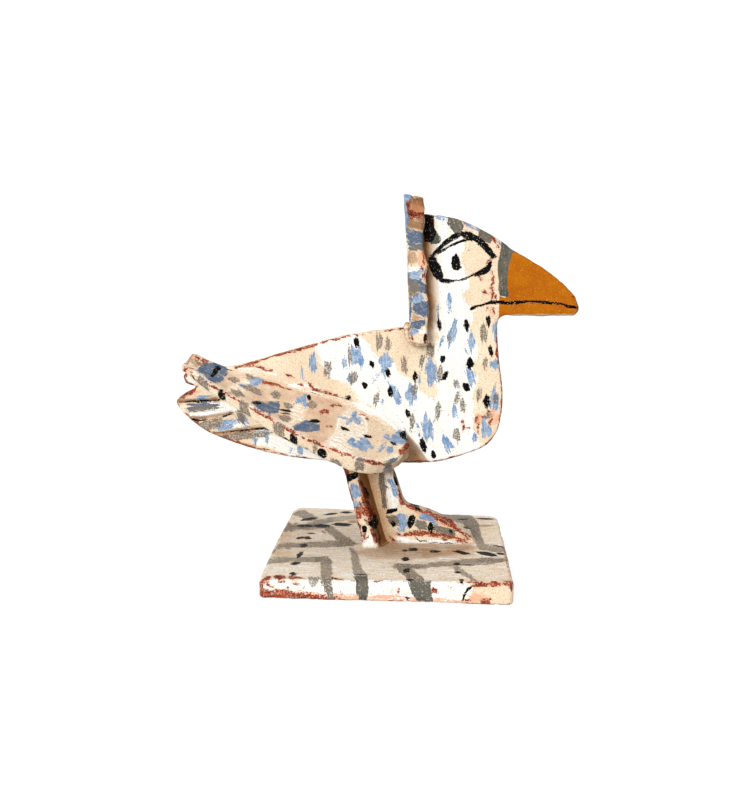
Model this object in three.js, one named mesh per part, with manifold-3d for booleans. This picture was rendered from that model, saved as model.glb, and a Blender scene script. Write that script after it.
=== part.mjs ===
import * as THREE from 'three';
import { mergeVertices } from 'three/addons/utils/BufferGeometryUtils.js';
import Module from 'manifold-3d';

// Slab-built clay bird on a square slab. Millimetres, +X to the beak, +Z up, the bird in the
// plane y = 0, origin on the underside of the base. Upright slabs are drawn lying flat, with
// their height along y, and stood up together.

// Rolled clay
const slabThickness = 9;
const edgeRound = 1.6;
const roundSteps = 2;
const curveSteps = 4;
const jointGap = 0.3;

// Base slab, a little thicker towards the beak; corners in x and y with their rounding
const baseThickness = 11.1;
const baseRise = 1.8;
const baseWidth = 133;
const baseCorners = [
  { at: [-66.5, -71.5], round: 3 },
  { at: [66.5, -71.5], round: 3 },
  { at: [66, 56], round: 7 },
  { at: [-66, 71.5], round: 10 },
];

// Body outline, x and height of each stretch, down the nape, along the back to the tail and round
const bellyZ = 59.6;
const nape = [[11.5, 201], [12.5, 170], [13.5, 141]];
const back = [[8, 139], [-30.5, 132.6], [-65.5, 122.8], [-92, 115.4], [-112, 112.5]];
const upperLobe = [[-119.3, 112], [-122.7, 108.4], [-120.4, 104.3], [-114.6, 102.6]];
const lowerLobe = [[-121, 98.6], [-126.2, 93.5], [-122, 86.8]];
const underTail = [[-113.3, 80], [-101.5, 73.7], [-72, 64.7], [-42, 60.5], [-29, bellyZ]];
const bellyEnd = [9, bellyZ];
const breast = [[28.3, 62], [51.4, 70.8], [59.5, 81], [62.7, 100], [61.8, 115], [59.6, 131], [59.6, 141.5]];
const throat = [[60.7, 145.2], [64, 147.2]];
const beakUnderEnd = [102.2, 147.5];
const beakTip = [[104.8, 151], [102.3, 157.5]];
const beakTop = [[96.8, 162.8], [88.1, 169.5], [76.6, 177.2], [65.8, 183.7]];
const crown = [[59.8, 189], [48, 196], [36.7, 200.7], [25.4, 202.8], [17, 203.3]];

// Feather lines cut into both faces of the tail: start and end, x and height
const tailGrooves = [
  [[-124.6, 93.6], [-102.9, 95.7]],
  [[-117.4, 83.4], [-94.1, 87.8]],
  [[-105, 75.2], [-72.9, 79]],
];
const grooveRadius = 1.2;
const grooveSink = 0.7;
const grooveSides = 8;

// Crest strip straddles the nape; a flake is gone from the top of its near edge
const crestSpread = 30;
const crestCorners = [[9.9, 130.6], [7.5, 177.6], [5.3, 213], [15.2, 211.4], [18.1, 172], [20.3, 130.2]];
const flakePlace = [11.5, 205.8];
const flakeSize = [5.6, 5, 2.4];
const flakeSegments = 14;

// Leg: a strip set across the heel, and a boot-shaped slab in the plane of the body
const legTopZ = bellyZ - jointGap;
const stripSpread = 30;
const stripFoot = [-15.2, -7];
const stripHead = [-27.8, -21];
const shinTop = [-0.6, legTopZ];
const shinFront = [[5, 43], [8.2, 35.8], [12.4, 33.3]];
const instep = [[24.2, 29.9], [37.9, 23], [47.6, 16.2]];
const toeX = 49.4;

// Wing, tip to front: x and z of the seam on the body with the fillet along it, then x,
// outward reach and z of the rim with the thickness of the slab
const wingStations = [
  { seam: [-116.7, 121], fillet: 0.6, rim: [-120.2, 8.5, 116.4], thick: 6 },
  { seam: [-108.5, 118.3], fillet: 0.6, rim: [-111.5, 13.5, 112], thick: 6.4 },
  { seam: [-98, 114.6], fillet: 0.6, rim: [-99.5, 17.5, 105.4], thick: 7.4 },
  { seam: [-84, 111], fillet: 1.2, rim: [-82, 23, 97.5], thick: 8.8 },
  { seam: [-55, 102.7], fillet: 2.2, rim: [-54, 32.3, 83.6], thick: 9.6 },
  { seam: [-28, 96.2], fillet: 3, rim: [-27, 38, 74.4], thick: 10.4 },
  { seam: [-13, 90.4], fillet: 5.5, rim: [-9.5, 36.5, 67.5], thick: 10.2 },
  { seam: [-1.3, 84.8], fillet: 6, rim: [4, 27, 69.4], thick: 9.6 },
  { seam: [6.8, 78.8], fillet: 5, rim: [9.7, 18, 75.3], thick: 9 },
];
const wingRings = 33;
const wingSag = 1.6;
const farTipDrop = 2;
const topShares = [0, 0.25, 0.5, 0.75, 1];
const underShares = [1, 0.5, 0];

// Fired clay under a cream slip
const slipColour = 0xecdac2;
const slipRoughness = 0.72;
const weld = 1e-4;

const wasm = await Module();
wasm.setup();

function bareGeometry(geometry) {
  const bare = geometry.clone();
  bare.deleteAttribute('normal');
  bare.deleteAttribute('uv');
  return mergeVertices(bare, weld);
}

function solidFrom(geometry) {
  const merged = bareGeometry(geometry);
  return new wasm.Manifold(new wasm.Mesh({
    numProp: 3,
    vertProperties: new Float32Array(merged.attributes.position.array),
    triVerts: new Uint32Array(merged.index.array),
  }));
}

function geometryFrom(solid) {
  const mesh = solid.getMesh();
  const geometry = new THREE.BufferGeometry();
  geometry.setAttribute('position', new THREE.BufferAttribute(mesh.vertProperties, 3));
  geometry.setIndex(new THREE.BufferAttribute(mesh.triVerts, 1));
  return geometry;
}

// Outline of straight edges to single points and curves through lists of points
function outline(start, ...stretches) {
  const shape = new THREE.Shape();
  shape.moveTo(...start);
  for (const stretch of stretches) {
    if (typeof stretch[0] === 'number') {
      shape.lineTo(...stretch);
    } else {
      shape.splineThru(stretch.map((point) => new THREE.Vector2(...point)));
    }
  }
  return shape;
}

// Rolled slab lying flat with rounded edges, its outline true and its thickness about z = 0
function rolledSlab(shape, thickness) {
  return new THREE.ExtrudeGeometry(shape, {
    depth: thickness - 2 * edgeRound,
    bevelEnabled: true,
    bevelThickness: edgeRound,
    bevelSize: edgeRound,
    bevelOffset: -edgeRound,
    bevelSegments: roundSteps,
    curveSegments: curveSteps,
  }).translate(0, 0, edgeRound - thickness / 2);
}

function baseTop(x) {
  return baseThickness + baseRise * x / baseWidth;
}

function baseSlab() {
  const shape = new THREE.Shape();
  baseCorners.forEach(({ at, round }, i) => {
    const corner = new THREE.Vector2(...at);
    const count = baseCorners.length;
    const before = new THREE.Vector2(...baseCorners[(i + count - 1) % count].at);
    const after = new THREE.Vector2(...baseCorners[(i + 1) % count].at);
    const enter = before.sub(corner).setLength(round).add(corner);
    const leave = after.sub(corner).setLength(round).add(corner);
    if (i === 0) {
      shape.moveTo(enter.x, enter.y);
    } else {
      shape.lineTo(enter.x, enter.y);
    }
    shape.quadraticCurveTo(corner.x, corner.y, leave.x, leave.y);
  });
  const geometry = rolledSlab(shape, baseThickness).translate(0, 0, baseThickness / 2);
  const { position } = geometry.attributes;
  for (let i = 0; i < position.count; i += 1) {
    position.setZ(i, position.getZ(i) * baseTop(position.getX(i)) / baseThickness);
  }
  return geometry;
}

function plainBody() {
  return rolledSlab(outline(
    nape[0], nape.slice(1), back, upperLobe, lowerLobe, underTail, bellyEnd,
    breast, throat, beakUnderEnd, beakTip, beakTop, crown,
  ), slabThickness);
}

function grooveCutter([x0, y0], [x1, y1], side) {
  const run = Math.hypot(x1 - x0, y1 - y0);
  const lift = slabThickness / 2 + grooveRadius - grooveSink;
  return new THREE.CylinderGeometry(grooveRadius, grooveRadius, run, grooveSides)
    .rotateZ(Math.atan2(y1 - y0, x1 - x0) - Math.PI / 2)
    .translate((x0 + x1) / 2, (y0 + y1) / 2, side * lift);
}

function bodySlab() {
  let solid = solidFrom(plainBody());
  for (const [start, end] of tailGrooves) {
    for (const side of [-1, 1]) {
      solid = solid.subtract(solidFrom(grooveCutter(start, end, side)));
    }
  }
  return geometryFrom(solid);
}

function crestStrip() {
  const strip = solidFrom(rolledSlab(outline(...crestCorners), crestSpread));
  const slot = solidFrom(plainBody()
    .scale(1, 1, 1 + 2 * jointGap / slabThickness)
    .translate(-jointGap, jointGap, 0));
  const flake = solidFrom(new THREE.SphereGeometry(1, flakeSegments, flakeSegments / 2)
    .scale(...flakeSize)
    .translate(...flakePlace, crestSpread / 2));
  return geometryFrom(strip.subtract(slot).subtract(flake));
}

function onBase(x) {
  return [x, baseTop(x) + jointGap];
}

function legStrip() {
  return rolledSlab(outline(
    onBase(stripFoot[0]), onBase(stripFoot[1]), [stripHead[1], legTopZ], [stripHead[0], legTopZ],
  ), stripSpread);
}

function footSlab() {
  return rolledSlab(outline(
    onBase(stripFoot[1] + jointGap), [stripHead[1] + jointGap, legTopZ],
    shinTop, shinFront, instep, onBase(toeX),
  ), slabThickness);
}

// One cross-section of the wing: from the wall above the seam, over the top, around the rim
// and back along the underside to the wall
function wingRing(seam, rim, along, thickness, fillet) {
  const across = rim.clone().sub(seam);
  const reach = across.length();
  const normal = along.clone().cross(across).normalize();
  const top = (share) => seam.clone().addScaledVector(across, share)
    .addScaledVector(normal, -4 * wingSag * share * (1 - share));
  const under = (share) => seam.clone().addScaledVector(across, share)
    .addScaledVector(normal, -thickness);
  const heelShare = -under(0).y / across.y;
  const heel = under(0).addScaledVector(across, heelShare);
  const rootEnd = fillet / reach;
  const underEnd = heelShare + rootEnd;
  const rimStart = 1 - edgeRound / reach;
  const wallAbove = seam.clone().setZ(seam.z + fillet);
  const wallBelow = heel.clone().setZ(heel.z - fillet);
  const bend = (from, corner, to) => from.clone().add(to).multiplyScalar(0.5).lerp(corner, 0.5);
  return [
    wallAbove,
    bend(wallAbove, seam, top(rootEnd)),
    ...topShares.map((share) => top(THREE.MathUtils.lerp(rootEnd, rimStart, share))),
    rim.clone().addScaledVector(normal, -edgeRound),
    rim.clone().addScaledVector(normal, edgeRound - thickness),
    ...underShares.map((share) => under(THREE.MathUtils.lerp(underEnd, rimStart, share))),
    bend(wallBelow, heel, under(underEnd)),
    wallBelow,
  ];
}

// Closed skin through a row of rings, capped at both ends
function loft(rings, flip) {
  const count = rings[0].length;
  const points = rings.flat();
  const faces = [];
  for (let i = 0; i + 1 < rings.length; i += 1) {
    for (let j = 0; j < count; j += 1) {
      const a = i * count + j;
      const b = i * count + (j + 1) % count;
      faces.push([a, b, a + count], [b, b + count, a + count]);
    }
  }
  for (const [start, last] of [[0, false], [points.length - count, true]]) {
    const flat = points.slice(start, start + count).map((p) => new THREE.Vector2(Math.abs(p.y), p.z));
    const clockwise = THREE.ShapeUtils.isClockWise(flat);
    for (const face of THREE.ShapeUtils.triangulateShape(flat, [])) {
      const placed = face.map((index) => start + index);
      faces.push(clockwise === last ? placed.reverse() : placed);
    }
  }
  const geometry = new THREE.BufferGeometry();
  const coordinates = points.flatMap((point) => point.toArray());
  geometry.setAttribute('position', new THREE.Float32BufferAttribute(coordinates, 3));
  geometry.setIndex(faces.flatMap(([a, b, c]) => (flip ? [a, c, b] : [a, b, c])));
  return geometry;
}

// Wing on the wall y = 0, reaching out along side
function wing(side, tipDrop) {
  const seamLine = new THREE.CatmullRomCurve3(
    wingStations.map(({ seam }) => new THREE.Vector3(seam[0], 0, seam[1])),
  );
  const rimLine = new THREE.CatmullRomCurve3(
    wingStations.map(({ rim }) => new THREE.Vector3(rim[0], side * rim[1], rim[2])),
  );
  const sizeLine = new THREE.CatmullRomCurve3(
    wingStations.map(({ thick, fillet }) => new THREE.Vector3(thick, fillet, 0)),
  );
  const rings = [];
  for (let i = 0; i < wingRings; i += 1) {
    const share = i / (wingRings - 1);
    const drop = new THREE.Vector3(0, 0, -tipDrop * (1 - share));
    const along = seamLine.getTangent(share).add(rimLine.getTangent(share)).multiplyScalar(side);
    const seam = seamLine.getPoint(share).add(drop);
    const rim = rimLine.getPoint(share).add(drop);
    const size = sizeLine.getPoint(share);
    rings.push(wingRing(seam, rim, along, size.x, size.y));
  }
  return loft(rings, side > 0);
}

function node(name, geometry) {
  const merged = bareGeometry(geometry);
  merged.computeVertexNormals();
  const material = new THREE.MeshStandardMaterial({
    color: slipColour,
    roughness: slipRoughness,
    metalness: 0,
  });
  const mesh = new THREE.Mesh(merged, material);
  mesh.name = name;
  return mesh;
}

const upright = new THREE.Group();
upright.name = 'upright_slabs';
upright.rotation.x = Math.PI / 2;
upright.add(node('leg_strip', legStrip()));
upright.add(node('foot_slab', footSlab()));
upright.add(node('body_slab', bodySlab()));
upright.add(node('crest_strip', crestStrip()));

const rightWing = node('right_wing', wing(-1, 0));
rightWing.position.y = -(slabThickness / 2 + jointGap);
const leftWing = node('left_wing', wing(1, farTipDrop));
leftWing.position.y = slabThickness / 2 + jointGap;

const bird = new THREE.Group();
bird.name = 'slab_bird';
bird.add(node('base_slab', baseSlab()));
bird.add(upright);
bird.add(rightWing, leftWing);

export default bird;
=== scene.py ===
"""Slab-built clay bird, dipped in cream slip and brushed with dabs of colour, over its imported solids."""
import math
import random

import bpy
import numpy as np
from mathutils import Matrix, Vector, noise
from mathutils.bvhtree import BVHTree


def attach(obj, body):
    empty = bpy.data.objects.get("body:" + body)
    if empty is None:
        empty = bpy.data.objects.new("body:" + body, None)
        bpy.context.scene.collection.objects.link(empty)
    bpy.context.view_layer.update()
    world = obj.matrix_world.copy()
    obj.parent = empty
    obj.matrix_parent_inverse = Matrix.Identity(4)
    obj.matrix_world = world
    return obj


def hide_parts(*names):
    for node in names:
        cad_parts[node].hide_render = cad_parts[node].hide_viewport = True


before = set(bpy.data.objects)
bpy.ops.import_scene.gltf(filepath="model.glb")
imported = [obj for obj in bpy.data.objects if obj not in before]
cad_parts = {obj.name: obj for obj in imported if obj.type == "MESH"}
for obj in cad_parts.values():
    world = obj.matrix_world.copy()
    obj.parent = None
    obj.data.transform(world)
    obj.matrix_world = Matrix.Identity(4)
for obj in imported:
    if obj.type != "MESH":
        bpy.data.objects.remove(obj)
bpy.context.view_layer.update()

bl_info = {
    "name": "Slab-built clay bird",
    "version": (1, 0, 0),
    "blender": (4, 5, 0),
    "location": "3D View > Sidebar > Clay Bird",
    "description": "Works the solids of a slab-built bird into brushed, worn, painted earthenware",
    "category": "Add Mesh",
}

# Metres in a millimetre, and the first seed of the chance that strays and scatters dabs
MM = 0.001
SEED = 11

# Camera of the picture: frame and focal length in pixels, place in mm, angles in degrees
PICTURE = (756, 800)
FOCAL = 950
EYE = (18.79, -549.69, 180.65)
YAW, PITCH, ROLL = 2.85, 8.73, 0.6

# Shared sizes of the solids, mm
HALF_SLAB = 4.5
BELLY = 59.6
BASE_THICK, BASE_RISE, BASE_WIDE = 11.1, 1.8, 133
# Height from which the crest stands free
CREST_FOOT = 136
# Room for finding the faces at the ends of the leg, and the parts within the body's thickness
JOINT_ROOM, SLOT_ROOM = 0.6, 0.5
# Lines cut in the tail, and how wide they are
TAIL_LINE_WIDE = 0.6
TAIL_LINES = (
    ((-124.6, 93.6), (-102.9, 95.7)),
    ((-117.4, 83.4), (-94.1, 87.8)),
    ((-105, 75.2), (-72.9, 79)),
)

# Roll of soft clay smeared in where the crest meets the back and neck, in lumps: place and radii, mm
CREST_LUTING = (
    ((7.8, 6, 139.6), (1.9, 4.5, 2.2)),
    ((7.9, 6.3, 136.6), (1.7, 4.5, 1.9)),
    ((8.6, 6.8, 134.2), (1.8, 4.6, 1.8)),
    ((9.8, 7.6, 132.4), (1.9, 4.8, 1.7)),
    ((11.8, 8.4, 130.9), (2.2, 5, 1.5)),
    ((14.4, 8.6, 130.2), (2.4, 5, 1.3)),
    ((17.2, 8.2, 130.5), (2.2, 4.8, 1.3)),
    ((19.6, 7, 131.8), (1.7, 4, 1.6)),
)

# Front and back edges of the base: place from front to back, and how far it is drawn out, mm
BASE_SWELL = ((-70, -1), (-40, 0), (40, 0), (72, 2.4))

# Wavy edge of the crest strip: bands of height in which the edge is found, then height and sideways swell, mm
CREST_BAND = 2
CREST_WAVE = (
    (131, 0), (140.4, -0.5), (145.4, 0.3), (148.8, 0.9), (154.4, 0.5), (160, -0.5), (164.5, -0.1), (168.4, -0.6),
    (171.7, 0.4), (174.5, 1.5), (177.8, 0.4), (182.3, -0.6), (187.9, -1), (194.6, -0.3), (199, 0.7), (202.4, 0),
    (205.7, 0.6), (213, 0),
)

# Where the hand drew the clay past the plain outline: reach of each move in pixels, then place in the
# picture and pixels right and down
MOVE_REACH = 12
BODY_MOVES = (
    (516, 252, 0.7, -0.9), (528, 259, 1.2, -1.5), (540, 267, 1.7, -2.1), (552, 276, 1.8, -2), (564, 286, 1.8, -1.8),
    (574, 297, 1.9, -1.2), (577, 306, 1, 0), (576, 312, 1.2, 1), (564, 315, 0, 0.8), (540, 315, 0, 1.3),
    (516, 315, 0, 1.3), (498, 345, 0.6, 0), (500, 380, 0.8, 0), (502, 395, 1.6, 0), (502, 405, 3.3, 0),
    (500, 415, 3.3, 0.4), (497, 425, 3.8, 1), (492, 435, 3.4, 1.8), (483, 445, 2.2, 2), (470, 452, 1.3, 2),
    (455, 457, 0.8, 2), (440, 460, 0.3, 1.5), (425, 462, 0, 1), (396, 328, 0, -1.4), (372, 331, 0, -1.4),
    (348, 335, 0, -1.3), (324, 340, 0, -1.2), (300, 346, 0, -0.7), (276, 353, 0, -0.4), (181, 397, -1.5, -1),
    (178, 403, -2.3, 0), (180, 409, -2, 0.6), (187, 416, -1.2, 0.8), (198, 425, -1.2, 1.3), (212, 433, -0.7, 1.4),
    (228, 440, -0.4, 1.4), (244, 445, -0.4, 1.8), (264, 451, -0.3, 1.8), (284, 455, 0, 1.6), (304, 458, 0, 1.2),
    (324, 460, 0, 0.8), (470, 224, 0, 0.5), (485, 231, 0, 0.6),
)
WING_MOVES = (
    (185, 362, -1.2, -0.6), (192, 355, -1, -2.4), (320, 459, -0.6, 1.2), (334, 465, -1, 2), (346, 470, -0.5, 1.2),
    (390, 470, 1, 0.8), (399, 464, 2.6, 0.8),
)
CREST_MOVES = ((405, 195, -0.3, -1.4), (415, 195, 0, -1.4), (424, 198, 0.8, -1.2), (426, 206, 0.8, 0))

# Order of the coats from the clay outwards
COATS = ("bare", "white", "salmon", "tan", "blue", "steel", "grey", "ochre", "slate", "black")

# Dabs as they lie in the picture: x, y, width, length in pixels, lean in degrees from level
BODY_DABS = {
    "black": (
        (356.5, 342.7, 5.6, 10, 75), (371.5, 363.6, 4.6, 8, 70), (365, 385.7, 5.7, 7.5, 70),
        (387.8, 372.5, 5.2, 9, 70), (390.3, 392, 5.7, 9.8, 80), (415, 377, 4.6, 8.6, 85),
        (408, 414, 4.8, 8, 65), (423.4, 445.7, 6.3, 14, 70), (433.7, 454.9, 5.2, 8, 75),
        (439.5, 325.2, 4.4, 11.5, 75), (466.5, 325.7, 5, 12.6, 80), (488.3, 321, 4.4, 10, 82),
        (442.6, 358.5, 6, 7.2, 90), (444.6, 376.3, 5, 10, 120), (470.2, 363.6, 7.6, 11.6, 80),
        (490.8, 351.6, 4.8, 11, 75), (466.2, 386.6, 6.6, 9.8, 65), (486.8, 401.5, 6.3, 13.8, 90),
        (425, 337.2, 3.5, 7.5, 100), (348.4, 397.6, 4, 6, 160),
    ),
    "blue": (
        (356.8, 356.7, 12.6, 22, 80), (344.8, 363.6, 5, 12, 85), (350, 379, 6, 8, 80),
        (385.5, 362, 12.6, 18.4, 88), (376.8, 376.2, 2, 9, 120), (385.2, 376.2, 2, 7, 78),
        (396, 395, 7.6, 23, 66), (410.8, 394.6, 10.6, 20, 85), (382, 401, 3.2, 4.6, 90),
        (419.4, 380.3, 2.5, 7, 85), (431.4, 372.2, 11, 25, 85), (421, 370.5, 1.5, 10, 95),
        (427.4, 428, 10.6, 24, 85), (417.4, 426.2, 3, 6.5, 80), (419.4, 434.8, 3, 4, 80),
        (447.5, 443.4, 8.6, 17, 65), (454.4, 413, 6.3, 12, 90), (452, 334, 8, 25, 100),
        (441.8, 340, 2.6, 12, 100), (471.6, 341.8, 6.5, 18, 80), (465.3, 349.3, 2, 7, 60),
        (471, 376.8, 8.4, 20, 75), (494.6, 400.4, 9, 24, 95), (486, 429.6, 9.6, 17, 85),
        (474.5, 438.8, 5, 9, 85), (495, 329.2, 5, 17, 92), (494, 363.6, 7, 11, 85),
        (449.4, 303.2, 4.6, 16, 84), (438, 313, 2.4, 10, 84), (312.7, 362.7, 7.6, 18, 90),
        (314, 367, 9, 6, 0), (301.6, 371.5, 2.4, 11, 82), (458.4, 386, 2.6, 6, 80),
        (201, 397.6, 4, 22, 174), (244, 418, 5, 10, 60), (226, 425.4, 9, 21, 152), (300, 449.6, 5.6, 10, 90),
        (290.4, 450.4, 2.6, 7, 120),
    ),
    "steel": ((495.8, 400, 5, 11, 92), (200, 406.6, 7.6, 30, 178), (241, 419, 6, 10, 60)),
    "grey": (
        (379.2, 341.8, 6.3, 16, 88), (388, 344.7, 5.7, 13.8, 95), (404.5, 364.8, 6, 16, 90),
        (421.7, 359.6, 4.5, 12.6, 105), (440, 374.5, 6, 16, 95), (483.6, 334.4, 6.6, 19, 85),
        (376.3, 399.2, 5, 14, 100), (353.4, 378, 8, 12.6, 100), (414.2, 390, 6, 13, 95),
        (412.2, 422.2, 4.6, 15, 88), (437.8, 411.9, 5.5, 17, 100),
        (456, 383, 5, 9, 90), (457.3, 397, 4.6, 12, 100), (463, 406.7, 6, 14, 90),
        (479, 394, 5.7, 12, 95), (456.7, 434.8, 7, 12.6, 85), (484.8, 362.5, 4, 10, 95),
        (349.7, 355.6, 3.5, 17, 88), (495.7, 399.2, 5, 10, 90), (448.7, 337, 4, 8, 90),
        (488.8, 415.3, 6, 6, 90), (327.9, 369, 7.6, 17, 95), (430.4, 350.2, 8.6, 14, 90),
        (211, 425, 9, 24, 166), (246, 435.6, 7.4, 44, 175), (201.6, 408.6, 6, 30, 175), (241, 416, 7, 13, 60),
        (206, 424.6, 7, 20, 160),
    ),
    "bare": (
        (480.6, 279, 2.6, 3.4, 60), (484.8, 292.4, 3, 4.4, 20), (495.6, 296.6, 2.4, 3, 90), (493, 307, 2, 3, 60),
        (488, 308.6, 1.6, 4, 80), (493, 313.4, 1.6, 4, 80), (478.4, 276, 1, 3, 40), (464.8, 223.6, 2.6, 4, 40),
        (493.6, 239.4, 3, 6, 50), (498, 247, 1.8, 3, 60), (462.8, 421.6, 2, 4, 70), (463.6, 428, 2.4, 4, 90),
        (468.6, 427.6, 1.8, 4, 10), (477, 418.6, 2.4, 5, 120), (478.6, 427, 2.4, 5, 95), (484, 417, 2, 4, 20),
        (491, 421.6, 2.6, 7, 110), (490, 414, 2.4, 5, 40), (478, 433, 2, 5, 60), (288, 376, 1.6, 5, 20),
        (300, 384, 2, 5, 15), (312, 386.6, 2.2, 9, 35), (325.6, 392.6, 3, 5, 10), (332, 394.4, 2.6, 9, 25),
        (341.4, 398.4, 2, 3, 10), (355, 403.6, 1.6, 6, 50), (359.6, 409, 1.2, 6, 45), (355.6, 334.4, 2, 4, 30),
    ),
}
# Brushed lines: width in mm at the start and at the end, then the picture's points along them
BODY_LINES = {
    "black": (
        (2.4, 2.6, ((430.6, 258.8), (434, 254), (440, 247.6), (447, 241.4), (454, 236.8), (461.4, 234))),
        (1.6, 1.1, ((438.4, 252.8), (443, 250.4), (450, 246.2), (457, 242.6), (463, 240.6), (469, 239.6))),
        (0.9, 1, ((455, 280.8), (462, 279.8), (468, 277.2), (475, 274.2))),
        (1.9, 1.7, ((471.4, 308.6), (478, 305.8), (486, 303.6), (491, 302.4), (503, 302.6), (515, 302.6))),
        (1.7, 1.5, ((515, 302.6), (525, 301.4), (540, 301.8), (552, 303.2), (560, 303.6), (566, 305.6))),
        (1.5, 1.9, ((566, 305.6), (571, 306.8), (578.8, 307.4))),
        (0.3, 0.35, ((572.6, 287), (567.6, 290.6), (569, 294), (573, 297), (576.4, 301))),
        (1.1, 1.5, ((179.6, 401.8), (200, 401.2), (219, 400.2))),
        (1.2, 0.5, ((191.6, 419.2), (198, 420.4), (206, 419.8))),
        (0.4, 0.6, ((206, 419.6), (214, 418.4), (222, 417.4))),
        (1.3, 1.3, ((223.6, 416.2), (231, 414.2))),
        (0.4, 0.7, ((216, 434), (228, 432.4), (240, 430.6))),
        (0.8, 1.5, ((240, 430.6), (256, 429.2), (264, 427.8))),
        (1.3, 0.6, ((264, 427.8), (268.6, 429.6))),
    ),
    "white": (
        (17, 22, ((446, 216), (446, 262), (449, 300), (455, 340))),
        (22, 24, ((455, 340), (456.5, 385), (452, 420), (444, 458))),
        (17, 20, ((352, 352), (399, 392), (428, 416), (458, 440))),
        (16, 20, ((330, 356), (366, 384), (400, 412), (430, 440))),
        (10, 9, ((324, 344), (350, 352), (372, 372))),
        (15, 18, ((408, 425), (436, 452), (466, 455))),
        (5, 7, ((212, 405.6), (238, 408))),
        (4, 5, ((194, 415.4), (226, 411.6))),
        (5, 5, ((228, 425.6), (246, 427))),
        (9, 13, ((262, 437), (288, 447), (322, 455))),
        (7, 6, ((186, 375), (192, 379))),
        (1.2, 1, ((240, 370.4), (258, 370.4), (276, 374.6))),
        (2.4, 2, ((290, 386), (306, 384.6), (318, 390))),
    ),
    "tan": (
        (3, 2.8, ((181, 401), (200, 400.4), (217, 399.6))),
        (2.2, 3.2, ((216, 433.4), (238, 429.8), (260, 427.4))),
        (2.2, 2, ((194, 418.4), (212, 417.6), (232, 413))),
    ),
    "bare": (
        (0.8, 0.9, ((246, 366.8), (254, 366.2), (262, 367.4), (266, 370), (272, 370.6))),
        (2, 1.8, ((236, 367.6), (262, 359.6), (285, 352.4), (312, 346.4))),
        (0.7, 0.6, ((487, 263.6), (490.4, 260.6), (491.4, 257.8))),
        (0.9, 0.9, ((491.6, 271), (492.4, 274.4))),
        (1.1, 1.2, ((493, 277), (491.6, 280), (494.2, 282.6), (492.4, 285))),
        (1.1, 1.2, ((493.8, 286.6), (491, 288.8), (494.4, 289.4), (491.4, 291.8))),
        (1.2, 1.1, ((492.6, 293.4), (491.4, 297.6))),
        (1.1, 0.9, ((313, 389.4), (324, 391.8), (334, 395), (349, 401.4))),
        (1, 1.2, ((496.6, 338), (500, 352), (499.6, 366), (502, 388))),
        (1.2, 1, ((502, 388), (503, 406), (500, 428), (490, 447))),
        (0.8, 0.6, ((490, 447), (470, 455), (440, 460.6), (404, 462))),
        (0.8, 0.7, ((186, 415), (204, 428.6), (230, 441), (262, 449), (300, 457))),
    ),
}
# Areas with a plain edge: lean of the brush in degrees, then the corners in the picture
BODY_PATCHES = {
    "black": (
        (88, ((424, 214.6), (433.6, 215.4), (434.4, 228), (437, 232), (431.6, 243), (424.6, 241.6), (423, 234),
              (424.6, 226))),
        (85, ((456.6, 253), (459.6, 259), (460.6, 264.4), (462, 267.6), (460, 269), (457.6, 270.6),
              (452.2, 269.4), (451, 263), (451.4, 257.4))),
        (30, ((458, 235), (462.4, 230.8), (469.4, 231.8), (478.4, 236.4), (485.6, 242), (491.6, 248.8),
              (497.4, 256.8), (492.2, 259.4), (486.6, 253), (479.6, 245.6), (474.6, 241.4), (469.4, 240.4),
              (465.8, 239), (461.6, 236.4))),
        (65, ((428, 261), (431, 257.6), (436, 257), (438, 262), (441.4, 268), (443, 274), (443.4, 278),
              (437.6, 279.8), (433, 275), (429.4, 268.6))),
        (5, ((437, 278), (443, 278), (450, 279.6), (456, 279.4), (454, 282.4), (447, 283.4), (441.2, 282.4))),
        (155, ((473, 274.6), (479, 270.4), (484, 267), (487, 265.4), (490, 261.6), (492, 260), (491.8, 265.4),
               (490.2, 270), (487.6, 273.2), (481.4, 275.4), (475, 276.4))),
    ),
    "slate": (
        (80, ((431, 229), (436, 231), (441, 238), (440.6, 243), (431, 244.4), (428, 238))),
        (60, ((448.6, 216), (455, 218), (461, 220), (464, 225), (462.8, 230), (458, 234.4), (454.6, 233.4),
              (450, 228), (447, 223))),
        (40, ((480, 228.8), (486, 231.8), (492.4, 235.8), (491.8, 240.6), (490, 243.4), (485, 242), (478, 237),
              (478.6, 232.4))),
    ),
    "blue": (
        (10, ((434.6, 214.8), (440, 215), (446.8, 216.4), (447, 219.2), (441, 219.2), (436, 218.4))),
        (28, ((466, 222.6), (473, 225.4), (480.4, 229), (479, 231.6), (472, 229), (466.6, 226))),
        (80, ((252, 437), (258.6, 438.4), (255, 445.6))),
        (85, ((263.4, 429.4), (268.8, 431), (268.8, 438), (266.4, 446), (264.4, 437))),
        (60, ((495, 238.6), (500, 242), (502, 245.4), (499, 244))),
    ),
    "bare": (
        (150, ((175, 401.6), (182, 394.4), (190, 388.6), (197, 386.6), (195, 391), (187, 396), (179.6, 401.4))),
    ),
    "salmon": (
        (150, ((186, 397.6), (190, 393), (197, 389), (203, 392.6), (198, 396))),
        (60, ((474, 417), (480, 413), (486, 415), (484, 422), (478, 427), (474, 424))),
        (100, ((488, 410), (497, 409), (500, 420), (494, 425), (489, 419))),
    ),
}
# Depth of the painted brown shadow, 0 to 1, cast on the body under the wing's front end
BODY_PAINTED_SHADOW = ((0.5, ((401, 464), (404, 446), (408, 435), (413, 440), (420, 449), (427.6, 460), (428, 464))),)
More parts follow.
